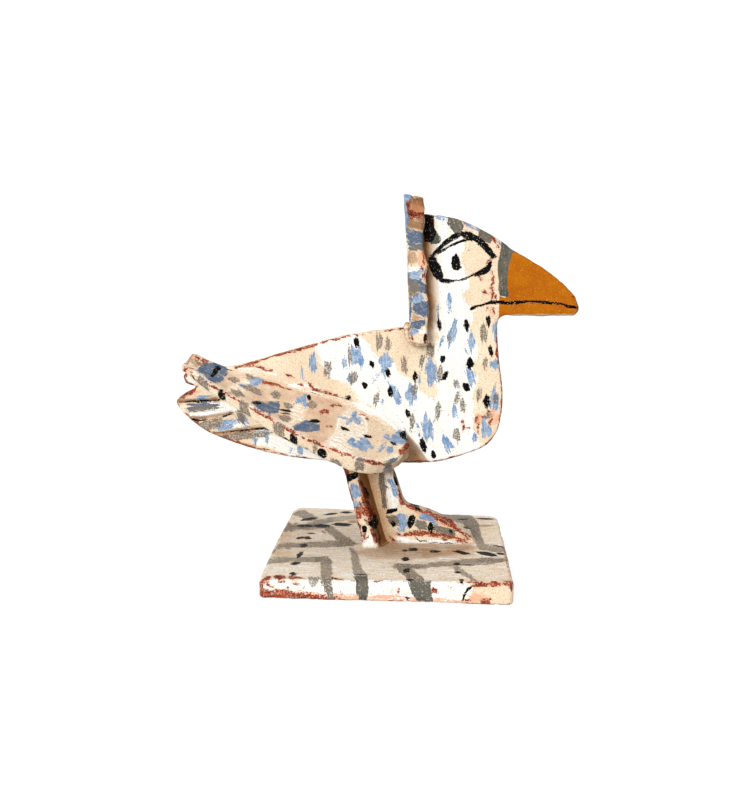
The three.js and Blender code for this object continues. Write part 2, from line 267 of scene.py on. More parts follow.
# Paint carried round the edge of the slab on to both faces
BEAK_PATCH = (5, (
    (512.4, 246), (530, 256), (550, 268), (566, 281), (584, 298), (584, 311), (577, 313.4), (560, 314),
    (540, 314), (520, 314),
    (508, 315), (502, 320), (498.6, 322), (499, 305), (499.4, 296), (506, 298), (505.6, 283), (506, 272),
    (507.6, 262), (510, 255)))
CHIN_PATCH = (0, ((503, 314), (520, 312), (578, 311.4), (582, 322), (500, 323)))
STRIPE_PATCH = (85, (
    (502, 241), (508, 243.6), (516, 249), (512.2, 254.6), (509.6, 262), (508, 272), (507, 283), (508.6, 292),
    (508.4, 297.6), (505, 296.6),
    (499.8, 295.4), (498.2, 290), (498.6, 280), (497.8, 270), (498.4, 262), (499.6, 253), (501, 247)))

CREST_DABS = {
    "black": ((425, 337.2, 3.6, 8, 100),),
    "bare": (
        (422.6, 224, 1.6, 4, 90), (422.4, 228.4, 2, 3, 60), (424, 258, 1.4, 9, 92), (421.6, 268.4, 1.8, 3, 60),
        (423, 275, 1.6, 6, 110), (408.4, 257, 1.4, 9, 90), (411.6, 336, 1, 8, 80), (412.6, 342, 2, 6, 30),
    ),
}
CREST_PATCHES = {
    "salmon": (
        (70, ((409.6, 201), (416, 200.4), (423.4, 203), (424.6, 214), (411, 213))),
        (85, ((418, 252), (426, 252), (429, 264), (424, 270), (419, 264))),
    ),
    "bare": (
        (80, ((406.4, 201.4), (410.4, 202), (410.6, 209), (414.4, 211.6), (419, 213.4), (425.6, 211.6),
              (426, 217), (417, 216.6), (409, 216.6), (407, 209))),
        (10, ((408.6, 217), (425.6, 217), (425.6, 219.6), (418, 218.8), (409, 219.6))),
    ),
    "tan": (
        (60, ((413.6, 196), (424, 196), (425, 208), (420, 206), (414, 200.6))),
        (20, ((407, 219), (426, 218.6), (425, 232), (416, 229.6), (406.6, 227.6))),
        (80, ((408.6, 251.6), (416, 252), (417, 260), (415, 266), (408.6, 265))),
        (20, ((411, 313), (415.6, 312.6), (423, 317), (418, 320.4), (412, 320))),
    ),
    "white": (
        (20, ((409.6, 194), (415, 195), (414, 200.6), (410.4, 201))),
        (20, ((406, 242), (409, 242), (409.6, 251), (406.6, 251))),
        (20, ((408, 266.4), (425, 267), (424, 271.6), (408.4, 273))),
        (20, ((420, 272.6), (426, 272), (425.6, 280), (421, 279.6))),
        (20, ((418, 331), (424, 328), (426, 331), (423, 334))),
    ),
    "blue": (
        (20, ((403, 193), (410, 193.6), (410.4, 200.6), (403.6, 201.6))),
        (80, ((403.6, 203), (407.4, 210), (408.6, 220), (407.4, 228), (404.6, 228))),
        (15, ((407.6, 273), (420, 270.4), (425, 270.6), (420.6, 275), (420.6, 280), (408, 280.6))),
        (60, ((410, 300), (414, 295), (420, 291.6), (424, 298), (423, 303), (413, 304), (411, 302))),
        (20, ((409.4, 329), (418, 328), (418, 332.6), (414, 335.4), (409.6, 334.6))),
    ),
    "steel": (
        (15, ((405.6, 228), (416, 230.6), (418, 240), (416, 247), (407, 241.6))),
        (15, ((416, 230.4), (425, 232), (424.4, 244), (416, 243))),
        (30, ((408, 279), (420, 279.6), (427, 285), (427, 294), (418, 292), (409, 292))),
        (20, ((408, 242.6), (416, 244), (425, 243.6), (425, 250.4), (409, 250.4))),
        (50, ((413, 304.4), (424, 301), (430, 300), (430, 316.4), (424, 317.6), (416, 313), (412, 310))),
        (40, ((410, 321), (418, 320.6), (426, 319), (424, 325.4), (419, 328.4), (409.6, 329))),
        (85, ((408.6, 292), (412, 292), (411.6, 321), (409, 321))),
    ),
    "grey": (
        (20, ((409, 245.6), (425, 246), (425, 250.6), (409, 250.6))),
        (30, ((408, 280.4), (416, 281), (421, 288), (417, 297), (411, 297), (408.6, 290))),
    ),
}

# Depth of the brown stain on the crest
CREST_STAIN = (
    (0.42, ((409.6, 199), (426, 196), (426, 217), (408, 217))),
    (0.32, ((407, 219), (426, 218.6), (425.6, 231), (416, 229.6), (406.6, 228))),
)

WING_DABS = {
    "blue": (
        (245, 386, 3, 9, 15), (381.6, 448.4, 3.4, 9.6, 125), (389.6, 449.4, 6.6, 8.4, 100),
        (359.8, 459.6, 4, 5, 90), (371, 447, 3, 6, 10),
    ),
    "black": (
        (256.6, 403, 3.6, 10, 12), (285.6, 410.6, 2.6, 12, 8), (285.2, 413.4, 1.3, 9, 6), (314.6, 421, 3.8, 10, 10),
        (344.4, 428.8, 3.2, 9, 24), (367.6, 436.2, 3.4, 7.6, 12), (393.6, 443.6, 2.4, 8, 30),
        (221.8, 396, 7, 10.6, 80),
        (293.6, 439.2, 8.4, 9.6, 90), (286.4, 439.4, 2, 7, 30), (322, 453.2, 9.4, 10.6, 80),
        (308.6, 397.2, 4, 6.6, 70),
        (405.4, 436.4, 6, 9.6, 70),
    ),
    "grey": (
        (312, 404.4, 8, 9, 60), (233.6, 380, 6.4, 11.6, 30), (237, 393.4, 6.6, 11.6, 35), (276, 395.4, 8, 9, 0),
        (288.4, 406.2, 7.6, 8.6, 50), (285, 418.2, 7, 11, 30), (202.6, 384, 7.6, 17, 50), (245, 411, 8.6, 21, 75),
        (278.6, 431, 9.6, 22, 80), (315, 448.6, 4.6, 11, 95), (360, 465, 9.6, 13, 100), (388, 465.6, 6, 9, 150),
        (199.6, 363.6, 4.4, 8, 30), (252, 389.4, 6, 22, 22), (249.4, 376.8, 5, 7, 30),
    ),
    "bare": (
        (339, 405.4, 2, 6, 20), (333, 405.6, 1.6, 3, 20), (326, 426.6, 1.4, 3, 10), (331, 427, 1.4, 4, 10),
        (367.4, 418.4, 2, 2.6, 30), (363, 414.4, 1.4, 4, 0), (188, 362, 1.2, 7, 120), (188, 368, 1.6, 7, 0),
    ),
}
WING_LINES = {
    "bare": (
        (0.9, 1.1, ((195, 375.4), (206.7, 384), (220, 390), (232.5, 396.6), (240, 402.4), (253, 409))),
        (1.2, 1.5, ((253, 409), (268.3, 417.4), (274, 422.4), (285, 428.2), (300, 435.8), (313, 441.6))),
        (1.4, 1.3, ((313, 441.6), (330, 448.4), (338, 451.8), (348, 455), (355, 457.6))),
        (1.3, 1.5, ((358, 459), (373, 462.4), (383, 464.4), (391, 466.4))),
        (2, 2.6, ((228, 369.6), (238, 370.6), (247, 372.2))),
        (1.8, 1, ((263, 382), (278, 385.4), (291, 389.6))),
    ),
    "black": (
        (0.5, 1.2, ((190, 371), (192.4, 375.6), (195, 380))),
        (0.4, 0.3, ((311, 392.6), (318, 395), (324, 395.8))),
    ),
    "white": (
        # The first two white lines are a painted highlight along the wing's top edge
        (1.2, 1.2, ((192, 370.6), (200, 376.8), (220, 389.4), (240, 402), (268, 417), (300, 435.4))),
        (1.2, 1.1, ((300, 435.4), (330, 448), (355, 457.4))),
        (1.4, 1.2, ((290, 385.6), (306, 388.6), (321, 394))),
        (1.1, 0.9, ((338.6, 418.4), (337, 428), (332, 436.6), (325, 443.4))),
        (1, 1, ((361.6, 414), (366, 424), (366.4, 434), (363, 439))),
        (7, 8, ((358, 402), (378, 411), (394, 421), (404, 431))),
    ),
}
WING_PATCHES = {
    "steel": (
        (25, ((196, 370.6), (203, 365.4), (208, 362), (216, 363.6), (228, 368), (226.6, 375), (222.6, 381),
              (217, 383.4), (211, 381), (203, 375.6))),
        (12, ((252, 402.6), (258, 400.6), (266, 402), (279, 401.4), (280.6, 407), (278, 413), (270, 414.4),
              (262, 411), (256, 407))),
        (6, ((291, 426.4), (296, 423), (305, 421), (313, 421.6), (319.4, 424), (319.4, 430), (312, 432),
             (302, 431.6), (296, 430))),
        (150, ((384.6, 463), (391, 458.6), (399, 457.4), (396, 461.4), (390, 466), (386, 468.4))),
    ),
    "blue": (
        (25, ((248, 380), (253, 377), (258, 376.2), (263, 378.4), (262, 383), (256, 386.4), (251, 384.4))),
        (80, ((297, 397.4), (302, 396.6), (304, 392.6), (307, 395), (306, 400), (308, 406), (303.6, 407.4),
              (301, 402), (293, 404.6), (296, 401.6))),
        (30, ((337.6, 416.6), (345, 416.2), (349, 420.4), (351.6, 416.4), (353.4, 411.4), (357, 411),
              (356.6, 416), (360.6, 417.6), (361, 424), (356, 423.6), (353, 421.4), (347, 424.6), (344.6, 419.6))),
        (20, ((347.6, 441.4), (353, 437.6), (356, 442), (361, 438), (365.6, 436.6), (369, 441), (370.6, 446),
              (366, 450.6), (360, 450.4), (354, 448), (349, 445.4))),
        (20, ((382.4, 436.6), (387, 434), (391, 437.6), (394, 433.6), (400.6, 429.6), (403, 433), (404, 438),
              (407, 441.6), (401, 445), (394, 443), (388.6, 439.6))),
    ),
    "black": ((125, ((218.6, 365.8), (221, 367.6), (218, 372.6), (213.6, 377.6), (210.6, 378), (210.6, 375),
                     (213.6, 368.6), (216, 366))),),
    "bare": (
        (35, ((192.4, 353.8), (196, 356), (201, 358.4), (199, 360.6), (194.4, 358.4))),
        (20, ((200, 360), (204, 359), (209.4, 361.4), (206, 364.4), (202, 363))),
        (130, ((409, 441), (410, 445), (404, 452), (399.6, 456), (398, 452.6), (401.6, 448), (405.4, 444))),
        (10, ((319.6, 411), (324, 408.8), (328.6, 410), (328, 413.6), (320.6, 413))),
    ),
    "tan": (
        (60, ((187, 360), (192, 354.6), (195, 359), (200, 363.6), (205, 365), (197, 367), (191, 364))),
    ),
}
# Depth of the beige wash, 0 to 1, over areas of a wing's top
WING_WASH = (
    (0.9, ((212, 380), (228, 371), (262, 378), (300, 391), (314, 396), (302, 410), (285, 421), (262, 413),
           (240, 400))),
    (1, ((307, 404), (316, 396), (335, 400), (346, 408), (339, 418), (335, 430), (327, 443), (316, 446),
         (296, 436), (304, 420))),
    (0.5, ((362, 416), (376, 420), (392, 432), (400, 440), (392, 454), (372, 460), (358, 454), (366, 436))),
    (0, ((340, 416), (352, 407), (362, 413), (367, 430), (364, 437), (352, 452), (336, 454), (326, 446),
         (335, 434))),
    (0.1, ((225, 389), (246, 378), (253, 384), (243, 393), (234, 395))),
    (0.1, ((287, 402), (306, 397), (308, 409), (300, 421), (289, 418))),
)

# Depth of the painted brown shadow under the wing's front end and on the shaded end of its rim
WING_PAINTED_SHADOW = (
    (0.45, BODY_PAINTED_SHADOW[0][1]),
    (0.3, ((386, 472), (394, 465), (402, 457.6), (410, 450), (414, 452), (406, 464), (396, 472))),
)

STRIP_DABS = {
    "bare": (
        (364.6, 538.4, 2, 6, 85), (374.4, 537, 1.6, 7, 85), (360.6, 541, 1, 5, 85), (352, 470, 2, 6, 40),
        (363.6, 501.6, 2.4, 7, 70), (368.4, 502.6, 2.2, 7, 65), (361, 504, 1.6, 5, 80), (366, 521, 1.6, 4, 60),
    ),
}
STRIP_PATCHES = {
    # This white patch is painted light on the strip's lower front
    "white": ((85, ((361, 534), (374, 535), (377, 547), (364, 547))),),
    "black": (
        (160, ((344.6, 476), (352, 473), (358.8, 471.6), (357.6, 477.6), (352, 480.4), (346.6, 482.6))),
        (80, ((364.4, 487.4), (367, 488), (369.6, 496), (366, 495))),
        (95, ((372.6, 515), (376, 514.6), (378.6, 522), (377.4, 529), (373, 528.6), (368, 524.6), (368, 521.6),
              (372, 520))),
        (60, ((361.6, 526), (366, 525.2), (367.4, 528), (366, 532.4), (362.6, 533))),
    ),
    "blue": (
        (80, ((349.4, 485.6), (353, 483.6), (358.6, 485.6), (361, 489), (360, 496), (358, 499), (353.6, 499.6),
              (350.6, 493))),
        (80, ((352.6, 500.6), (358, 500), (359.6, 506), (354.6, 507))),
    ),
    "bare": (
        (75, ((340, 467), (348, 468), (349.6, 474.6), (345, 477))),
        (65, ((359.4, 478.6), (362.6, 483), (366, 491), (369, 498), (364, 498), (361, 492), (359.8, 486))),
        (65, ((354, 507), (360, 506), (366, 507.6), (372, 506.6), (375.8, 514.6), (368, 517.4), (362, 515),
              (360, 521), (357.6, 519))),
        (75, ((377.6, 529), (380, 536), (381, 549), (379.4, 549), (378.4, 538))),
    ),
}
FOOT_DABS = {
    "blue": ((435.4, 524, 4, 5.6, 45),),
    "black": ((393.4, 523.8, 4, 6.4, 80),),
    "bare": ((459, 541.4, 2.4, 9, 12), (393.6, 540.4, 2.2, 6, 30), (391, 538, 1.4, 4, 60), (386, 487, 1.4, 4, 40),
             (398, 534, 2, 5, 20)),
}
FOOT_LINES = {
    "grey": ((3.6, 3, ((381, 472), (383, 488), (384.8, 506))),),
    "bare": ((1.4, 1.8, ((396.8, 484), (399.6, 493), (402.6, 503))),),
    "black": (
        (0.6, 0.6, ((414.6, 534.8), (417, 538.6), (420, 541), (426, 541), (430, 543.4), (436, 542.4),
                    (442, 543.8), (450, 543.2))),
        (0.6, 0.5, ((450, 543.2), (456, 544.8), (464, 544.6), (471, 545.4))),
    ),
    # The second white line is a painted highlight along the foot's lower band
    "white": ((6, 6, ((389, 478), (391, 492), (393, 506))), (4, 4, ((398, 541), (430, 543), (464, 546)))),
}
FOOT_PATCHES = {
    "blue": (
        (65, ((386.6, 479.6), (391, 478.6), (395, 484), (397.6, 490), (397, 497.6), (394, 496), (391, 488))),
        (75, ((395, 515), (400, 513), (406, 515), (408, 520), (406.6, 527), (404, 531.6), (399, 532.4),
              (397.6, 524), (397, 519))),
        (15, ((418.6, 516.6), (422, 514), (429, 514.2), (433.6, 518.6), (434, 521), (428, 521), (420, 519))),
    ),
    "grey": (
        (30, ((386, 516), (395, 515), (399, 520), (398, 526), (390, 524))),
        (30, ((415.6, 520), (426, 521.4), (428, 529.6), (420, 530), (415, 526))),
        (15, ((433, 524.4), (445, 527), (455.6, 529.6), (455, 535), (444, 533.4), (434, 530.6))),
    ),
    "black": (
        (75, ((393.4, 470), (396.6, 472), (399, 484.6), (396, 485.4), (393.4, 480))),
        (5, ((387, 509), (398, 508), (397, 511), (392, 513.6), (386, 514))),
        (100, ((409, 516.6), (412.6, 514), (415.4, 517), (414.6, 522), (411.6, 528), (408.6, 529), (407.4, 523))),
        (85, ((430.4, 520), (433, 525), (434, 529), (431.6, 532.8), (429, 532), (427.2, 528), (429, 524))),
        (70, ((448.6, 530), (452, 529.2), (454, 535), (450.6, 534))),
        (30, ((414, 505.4), (420, 507.6), (422, 511), (416, 509.4))),
    ),
    "bare": (
        (30, ((404.6, 503.6), (412, 505.4), (425, 510), (440, 515), (452, 521), (461, 530), (470, 540),
              (467.6, 540), (458.6, 532), (446, 525.4), (434, 519), (422, 513.6), (410, 509.4))),
        (10, ((402, 536.4), (406, 532.6), (418, 530.8), (424, 530.4), (436, 531.6), (448, 534), (458, 536),
              (467, 540.4), (460, 539.6), (450, 538.4), (436, 537), (424, 535.6), (412, 536))),
        (20, ((441, 539), (444, 536.4), (447.6, 539.8), (444, 540.4))),
    ),
    "salmon": ((30, ((416, 512), (434, 518), (450, 527), (444, 527), (430, 520.6), (418, 516))),),
}

BASE_DABS = {
    "black": (
        (309, 519, 2.8, 15, 169), (331, 514, 2.4, 13, 170), (346.4, 512.4, 2.2, 11, 177), (305.4, 526, 3.2, 18, 2),
        (322.6, 526, 3.4, 16, 3), (341.6, 524.6, 3.6, 19, 4), (301, 537.8, 2.2, 10, 168), (308, 538, 3.2, 6, 175),
        (303.6, 545.4, 4.2, 8, 0), (300, 554.4, 4.2, 8, 130), (295.6, 563.4, 3.8, 8, 160),
        (293, 573.6, 3.2, 7, 175),
        (413, 549.6, 3.6, 9, 5), (405, 550.6, 2.2, 5, 0), (434.2, 551.4, 3, 11, 3), (461.6, 552.6, 3.4, 17, 14),
        (487, 554, 4.2, 20, 14), (500.6, 553.8, 2.2, 8, 8), (405.4, 559, 3.8, 7.4, 0), (406.6, 570.4, 4.4, 7, 0),
        (409.4, 580, 2.2, 7, 0), (457.6, 572.2, 2.8, 5.6, 20), (461.8, 580.4, 2.4, 5, 0),
        (461.7, 519.2, 1.4, 13, 0),
        (485, 518.8, 1.6, 18, 0), (466, 527.8, 1.8, 8, 15), (457, 564, 2.6, 6, 10), (468, 565, 1.2, 18, 2),
        (407.6, 598.4, 3, 5, 10), (359.6, 574.4, 1.2, 15, 2), (499, 546.4, 1.4, 11, 10),
    ),
    "tan": ((353, 521.6, 3.2, 9, 0), (478, 526, 1.6, 34, 0)),
    "bare": (
        (288, 523.4, 1.6, 4, 0), (295.6, 523.6, 1.4, 3, 0), (311, 533.4, 1.6, 8, 0), (324, 532, 1.4, 4, 40),
        (434.6, 590.6, 5, 6, 80), (466.6, 601, 2, 4, 0), (398, 590.6, 1.4, 3, 90), (268, 583.4, 2, 4, 60),
        (273, 586.6, 1.6, 3, 20), (280, 582.4, 1.4, 4, 0), (287, 587, 1.4, 2.6, 60), (296, 583.6, 1.6, 3, 10),
        (303, 588.6, 1.4, 3, 80), (266, 590, 2, 4, 30), (284, 592, 1.6, 4, 0), (341, 592, 1.2, 3, 90),
        (450, 588, 1.2, 3, 40),
    ),
}
BASE_LINES = {
    "white": (
        (12, 12, ((262, 587), (320, 589), (390, 590), (462, 592))),
        (3, 3, ((262, 581), (300, 582), (350, 583))),
    ),
    "salmon": ((2.4, 2, ((340, 598), (392, 598.6), (440, 600.6), (464, 602))),),
}
BASE_PATCHES = {
    "grey": (
        (25, ((292, 513.6), (303, 509.6), (318, 517.4), (316, 521), (308, 520.6))),
        (175, ((304, 524), (318, 519.6), (335, 516.6), (357, 514.6), (358, 519.4), (340, 520.4), (326, 523.6),
               (310, 526.6))),
        (178, ((286, 524.6), (300, 524), (316, 525), (330, 525), (330, 528), (318, 529), (302, 529.4),
               (283, 531.8))),
        (35, ((322, 525), (332, 526), (345, 535.6), (358, 543.6), (354, 546), (342, 545), (336, 539),
              (326, 530.6))),
        (178, ((280, 543), (300, 543), (330, 541), (350, 540.6), (358.6, 543.6), (354, 546), (330, 547.4),
               (300, 547.6), (275, 548.6))),
        (2, ((269, 558), (300, 557), (322, 556.4), (329, 557.6), (332, 562), (332, 578), (321, 578), (320.6, 562),
             (300, 561.8), (265, 564.2))),
        (75, ((349.6, 548), (353, 549), (358, 554), (360, 562), (362, 569), (367.6, 575), (367.6, 578),
              (354, 578), (352.4, 568), (351, 556))),
        (176, ((391.6, 566), (397, 563.6), (412, 564.6), (440, 561.6), (470, 559), (490, 557.6), (506, 557.4),
               (510, 560.6), (490, 563.6), (460, 565.6), (430, 567.6), (412, 569.4), (400, 568.6))),
        (30, ((392, 566), (404, 567), (413, 569.6), (421, 575), (424.6, 581), (407, 581), (405, 576),
              (398, 570.6))),
        (30, ((450, 567), (458, 566), (466, 572), (478, 581), (472, 581), (462, 574.6))),
        (40, ((441, 513.6), (452, 512.4), (470, 515), (477, 521), (480, 530), (482.6, 540), (487, 549),
              (482, 549), (474, 541), (470, 530), (462, 524), (450, 519))),
        (4, ((476, 545), (484, 544.6), (492, 545.4), (504, 548), (506, 551.6), (490, 551.6), (480, 550.6))),
        (85, ((321, 578), (332, 578), (332, 588), (333.8, 599), (329, 599), (325.6, 592), (322.6, 585))),
        (85, ((308, 577), (320, 577), (317, 584), (313, 587), (309.4, 584))),
    ),
    "slate": (
        (85, ((354.6, 576), (367, 576), (368.2, 583), (368.6, 592), (366.4, 600), (359, 600), (356, 592),
              (355.8, 582))),
        (80, ((408.6, 581), (430.6, 581), (431, 590), (432.8, 602), (417, 601), (411.6, 593), (409.6, 587))),
    ),
    "black": ((120, ((470.6, 585.4), (471.8, 588), (467.4, 592), (466, 596), (463, 601), (461.4, 600.4),
                     (463.4, 594), (465.4, 590))),),
    "bare": (
        (2, ((258, 586), (263, 589.6), (270, 591), (280, 589.6), (292, 591.2), (300, 592.6), (312, 594),
             (326, 596), (342, 598.6), (344, 602), (300, 602), (259, 601))),
        (85, ((257, 582), (262, 579), (266, 579.6), (263, 584), (262.4, 590), (258, 591))),
        (85, ((507, 581.6), (510, 580), (514, 582), (514, 592), (511, 590), (507.8, 588))),
        (5, ((481, 600.4), (490.6, 598), (490, 604.6), (482, 604.6))),
        (160, ((261, 579.4), (266, 576.6), (270, 576.4), (271, 579), (267, 582), (262, 584.4))),
        (170, ((274, 576.4), (279, 575.2), (285, 575.6), (286, 578.8), (280, 579.6), (275, 578.4))),
        (3, ((289, 576.6), (293, 576), (299, 576.4), (304, 577.8), (298, 579.6), (290, 578.4))),
        (8, ((331, 577.2), (343, 579.2), (342, 580.4), (332, 578.8))),
        (175, ((470, 586), (478, 582.6), (490, 581.8), (500, 582.4), (508, 581), (508, 584), (498, 586.6),
               (484, 586.6), (474, 588))),
    ),
    "salmon": (
        (2, ((262, 592), (280, 590), (300, 592), (330, 594), (368, 595), (392, 594.6), (412, 598), (418, 601),
             (352, 601), (300, 597), (264, 596))),
        (20, ((468, 600), (473, 593), (482, 595), (490, 599), (484, 603), (471, 603))),
    ),
}
# Depth of the beige wash over areas of the base's top
BASE_WASH = (
    (0.55, ((277, 532), (292, 532.4), (294, 541.4), (280, 541.6))),
    (0.6, ((271, 549.4), (290, 549), (292, 555.6), (268, 556.6))),
    (0.05, ((311, 529), (328, 530), (345, 541), (316, 541.6))),
    (0.05, ((266, 564), (292, 563), (318, 566), (320, 578), (260, 578))),
    (0.1, ((332, 562), (350, 561), (395, 570), (420, 570), (450, 569), (486, 582), (334, 580))),
    (0.15, ((334, 549), (350, 549), (352, 558), (334, 558))),
    (0.7, ((446, 546), (474, 546), (476, 556), (448, 556))),
)
# Depth of the painted brown shadow on the base's top, round the foot
BASE_PAINTED_SHADOW = (
    (0.26, ((352, 552), (376, 546), (400, 543), (430, 544), (470, 545), (476, 548), (448, 556), (410, 559),
            (370, 558))),
    (0.42, ((414, 549), (440, 549.6), (446, 555), (424, 557))),
    (0.35, ((379, 550), (386, 538), (400, 543), (412, 547), (404, 553), (388, 555))),
)
# Load of grey on the brush, 1 for full, where a bar is darker or paler than the rest
BASE_LOAD = (
    (1.1, ((282, 523), (302, 523), (302, 531), (280, 533))),
    (1.05, ((333, 538), (360, 538), (360, 548), (336, 548))),
    (1.05, ((314, 555), (332, 555), (332, 563), (316, 563))),
    (1.1, ((388, 561), (412, 561), (428, 572), (428, 582), (404, 582))),
    (1.1, ((476, 555), (512, 555), (512, 564), (478, 565))),
    (1.05, ((462, 518), (480, 518), (484, 541), (468, 541))),
    (1.4, ((320, 577), (336, 577), (336, 601), (320, 601))),
    (0.6, ((332, 514), (360, 512), (360, 521), (334, 522))),
)
# Bars carried over the hidden sides of the base: mm points round the slab
BASE_FAR_BARS = (
    (8, 7, ((-30, 74, 2), (-28, 70, 8))),
    (9, 8, ((28, 66, 2), (26, 62, 9))),
    (8, 9, ((66.5, -14, 2), (66.5, -13, 8))),
    (8, 8, ((-66.5, -26, 2), (-66.5, -24, 8))),
    (8, 8, ((-66.5, 22, 2), (-66.5, 24, 8))),
)

# Dabs scattered on hidden sides: coat, number, width and length in mm, most turn in degrees
BASE_TOP_SCATTER = (("black", 8, 4.5, 6.5, 40),)
BASE_SIDE_SCATTER = (("white", 9, 7, 26, 90),)
BASE_FOOT_SCATTER = (("bare", 9, 3, 14, 90),)
HEEL_SCATTER = (("blue", 4, 6, 9, 20), ("black", 5, 4, 7, 30), ("bare", 3, 4, 9, 60))
HEEL_END_SCATTER = (("blue", 1, 5, 9, 15), ("black", 3, 4, 6, 30))
CREST_SCATTER = (("blue", 16, 8, 12, 40), ("grey", 9, 6, 9, 40), ("white", 6, 6, 12, 20))
CREST_BACK_SCATTER = (("black", 4, 4, 7, 20),)
WING_UNDER_SCATTER = (("blue", 7, 7, 11, 60), ("grey", 8, 6, 10, 60), ("black", 7, 4, 6, 60))
# Tries for each of them, least gap between them in lengths, and range of their sizes
SCATTER_TRIES, SCATTER_GAP, SCATTER_SIZES = 12, 1.6, (0.7, 1.2)

# Load of grey on the brush, and depth of the wash over a whole top before its areas are set
BASE_GREY, LEG_GREY = 0.88, 1.6
BASE_TOP_WASH, WING_TOP_WASH = 0.2, 0.12
# Lines of sight that pass a piece by: first guess of the distance in m, and steps to the closest place
EYE_TO_BIRD, CLOSING_STEPS = 0.55, 4
# Flattest view of a surface that a dab of the picture is sized by
GRAZING = -0.12
# Least turn of a painted point towards a line or dab, and towards the eye for an area
STROKE_FACING, AREA_FACING = 0.05, 0.1
# Room round strokes in which points are measured: pixels round an area, mm round a line and a dab
AREA_ROOM, LINE_ROOM, DAB_ROOM = 9, 5, 4
# Waves in a line's width, bristles at a dab's ends, waves in its sides, and how deep it reaches, mm
LINE_WAVE, DAB_BRISTLE, DAB_WAVE, DAB_DEPTH = 4.5, 1.1, 2, 3
# Outline of a dab: 2 for an ellipse, more for squarer ends
DAB_SQUARE = 2.3
# Shift of the bristle marks along a stroke for each unit of its seed, mm
SEED_SHIFT = 7.3
# Streaks of thin white against those of full strokes: scale along and across
STREAK_SHORTER, STREAK_WIDER = 2, 0.8
# Sharpness from which an edge wears, sharpness worn by any amount, and mm that the wear spreads between them
WEAR_LEAST, WEAR_SHARP, WEAR_REACH = 0.12, 0.85, 4.5
# Rise of the marks over which a stroke runs dry, cells of the iron specks in mm, mottle in the painted shade and
# stain
DRY_FADE, SPECK_CELL, SHADE_AND_STAIN_MOTTLE = 0.18, 3, 0.6
# Loose triangles merge within this many metres
MERGE_GAP = 2e-6
# Bend per mm of a full edge and of a full hollow, and how far both spread in mm
EDGE_BEND, HOLLOW_BEND, BEND_SPREAD = 0.09, 0.12, 1.5
# Usual numbers of a sine hash
HASH = (127.1, 311.7, 43758.5453)
# Curve of the floor: steps and stride of its sweep, height of the wall behind it, m; camera's sensor, mm
SWEEP_STEPS, SWEEP_STRIDE, WALL_HIGH = 12, 0.16, 3
SENSOR = 36


def linear(code):
    """Linear colour, with full cover, of an sRGB hex code."""
    parts = [int(code[i:i + 2], 16) / 255 for i in (1, 3, 5)]
    return tuple(c / 12.92 if c <= 0.04045 else ((c + 0.055) / 1.055) ** 2.4 for c in parts) + (1.0,)


def size_property(label, words, value):
    return bpy.props.FloatProperty(
        name=label, description=words, default=value * MM, min=0, unit="LENGTH", subtype="DISTANCE", precision=5)


def colour_property(label, words, code):
    return bpy.props.FloatVectorProperty(
        name=label, description=words, default=linear(code), size=4, min=0, max=1, subtype="COLOR")


class ClaySizes(bpy.types.PropertyGroup):
    """Sizes of the worked clay"""

    body_grain: size_property("Body grain", "Spacing of the points on the body slab", 0.7)
    base_grain: size_property("Base grain", "Spacing of the points on the base slab", 0.75)
    wing_grain: size_property("Wing grain", "Spacing of the points on the wings", 0.6)
    small_grain: size_property("Small grain", "Spacing of the points on the crest and leg", 0.5)
    roll_wave: size_property("Roll wave", "Height of the slow waves that rolling leaves", 0.75)
    thumb_wave: size_property("Thumb wave", "Height of the dents that thumbs leave", 0.3)
    drag_wave: size_property("Drag wave", "Height of the grit drag on the surface", 0.13)
    edge_wear: size_property("Edge wear", "Deepest nibble along worn edges", 0.6)
    press: size_property("Press", "How far a joined slab is pressed into its neighbour", 0.8)
    root: size_property("Wing root", "How far the smeared root of a wing runs into the body", 3.2)
    flare: size_property("Flare", "Spread of the clay smeared round the foot of the leg", 1.7)
    fillet: size_property("Fillet", "Clay smeared between the heel strip and the foot", 7)
    groove: size_property("Feather line", "Extra depth of the lines cut in the tail", 0.5)


class SlipColours(bpy.types.PropertyGroup):
    """Colours of the clay, the slips and the brushed stains"""

    clay: colour_property("Fired clay", "Iron-red body where the slip is worn off", "#813219")
    clay_dark: colour_property("Dark clay", "Deeper red of the thickest burn", "#5A1D0E")
    # Brown tint of the painted shade in creases, joints and cast shadows, and of the crest's brown stain; a filter
    # over the coats
    brown_shade_and_stain: colour_property("Stain", "Brown film held in corners, a filter over the coats", "#C6A782")
    cream: colour_property("Cream slip", "Slip over the whole bird", "#CBBEA5")
    cream_deep: colour_property("Deep cream", "Where the slip lies thin", "#C3AE95")
    beige: colour_property("Beige wash", "Thin coat on the wing tops and the base top", "#AC8F76")
    tan: colour_property("Tan", "Smears of brown wash", "#95795F")
    white: colour_property("White slip", "Broad dry strokes on neck and breast", "#CFCEC9")
    salmon: colour_property("Salmon", "Slip rubbed thin over the clay", "#C08E71")
    blue: colour_property("Blue", "Blue dabs", "#587494")
    blue_pale: colour_property("Pale blue", "Blue where the brush ran dry", "#7C90A4")
    steel: colour_property("Steel blue", "Dark blue of the wing tips and the crest", "#435367")
    grey: colour_property("Grey", "Thin grey dabs and bars", "#635B51")
    slate: colour_property("Slate", "Full grey of the head, the beak's stripe and the base front", "#565147")
    slate_dark: colour_property("Dark slate", "Slate where the brush was full", "#3C3F39")
    black: colour_property("Black", "Black dabs and the lines of the face", "#020202")
    ochre: colour_property("Ochre", "Beak", "#955300")
    ochre_dark: colour_property("Dark ochre", "Thicker ochre on the beak", "#8D4900")
    ochre_pale: colour_property("Pale ochre", "Scuffs on the beak", "#B8803A")


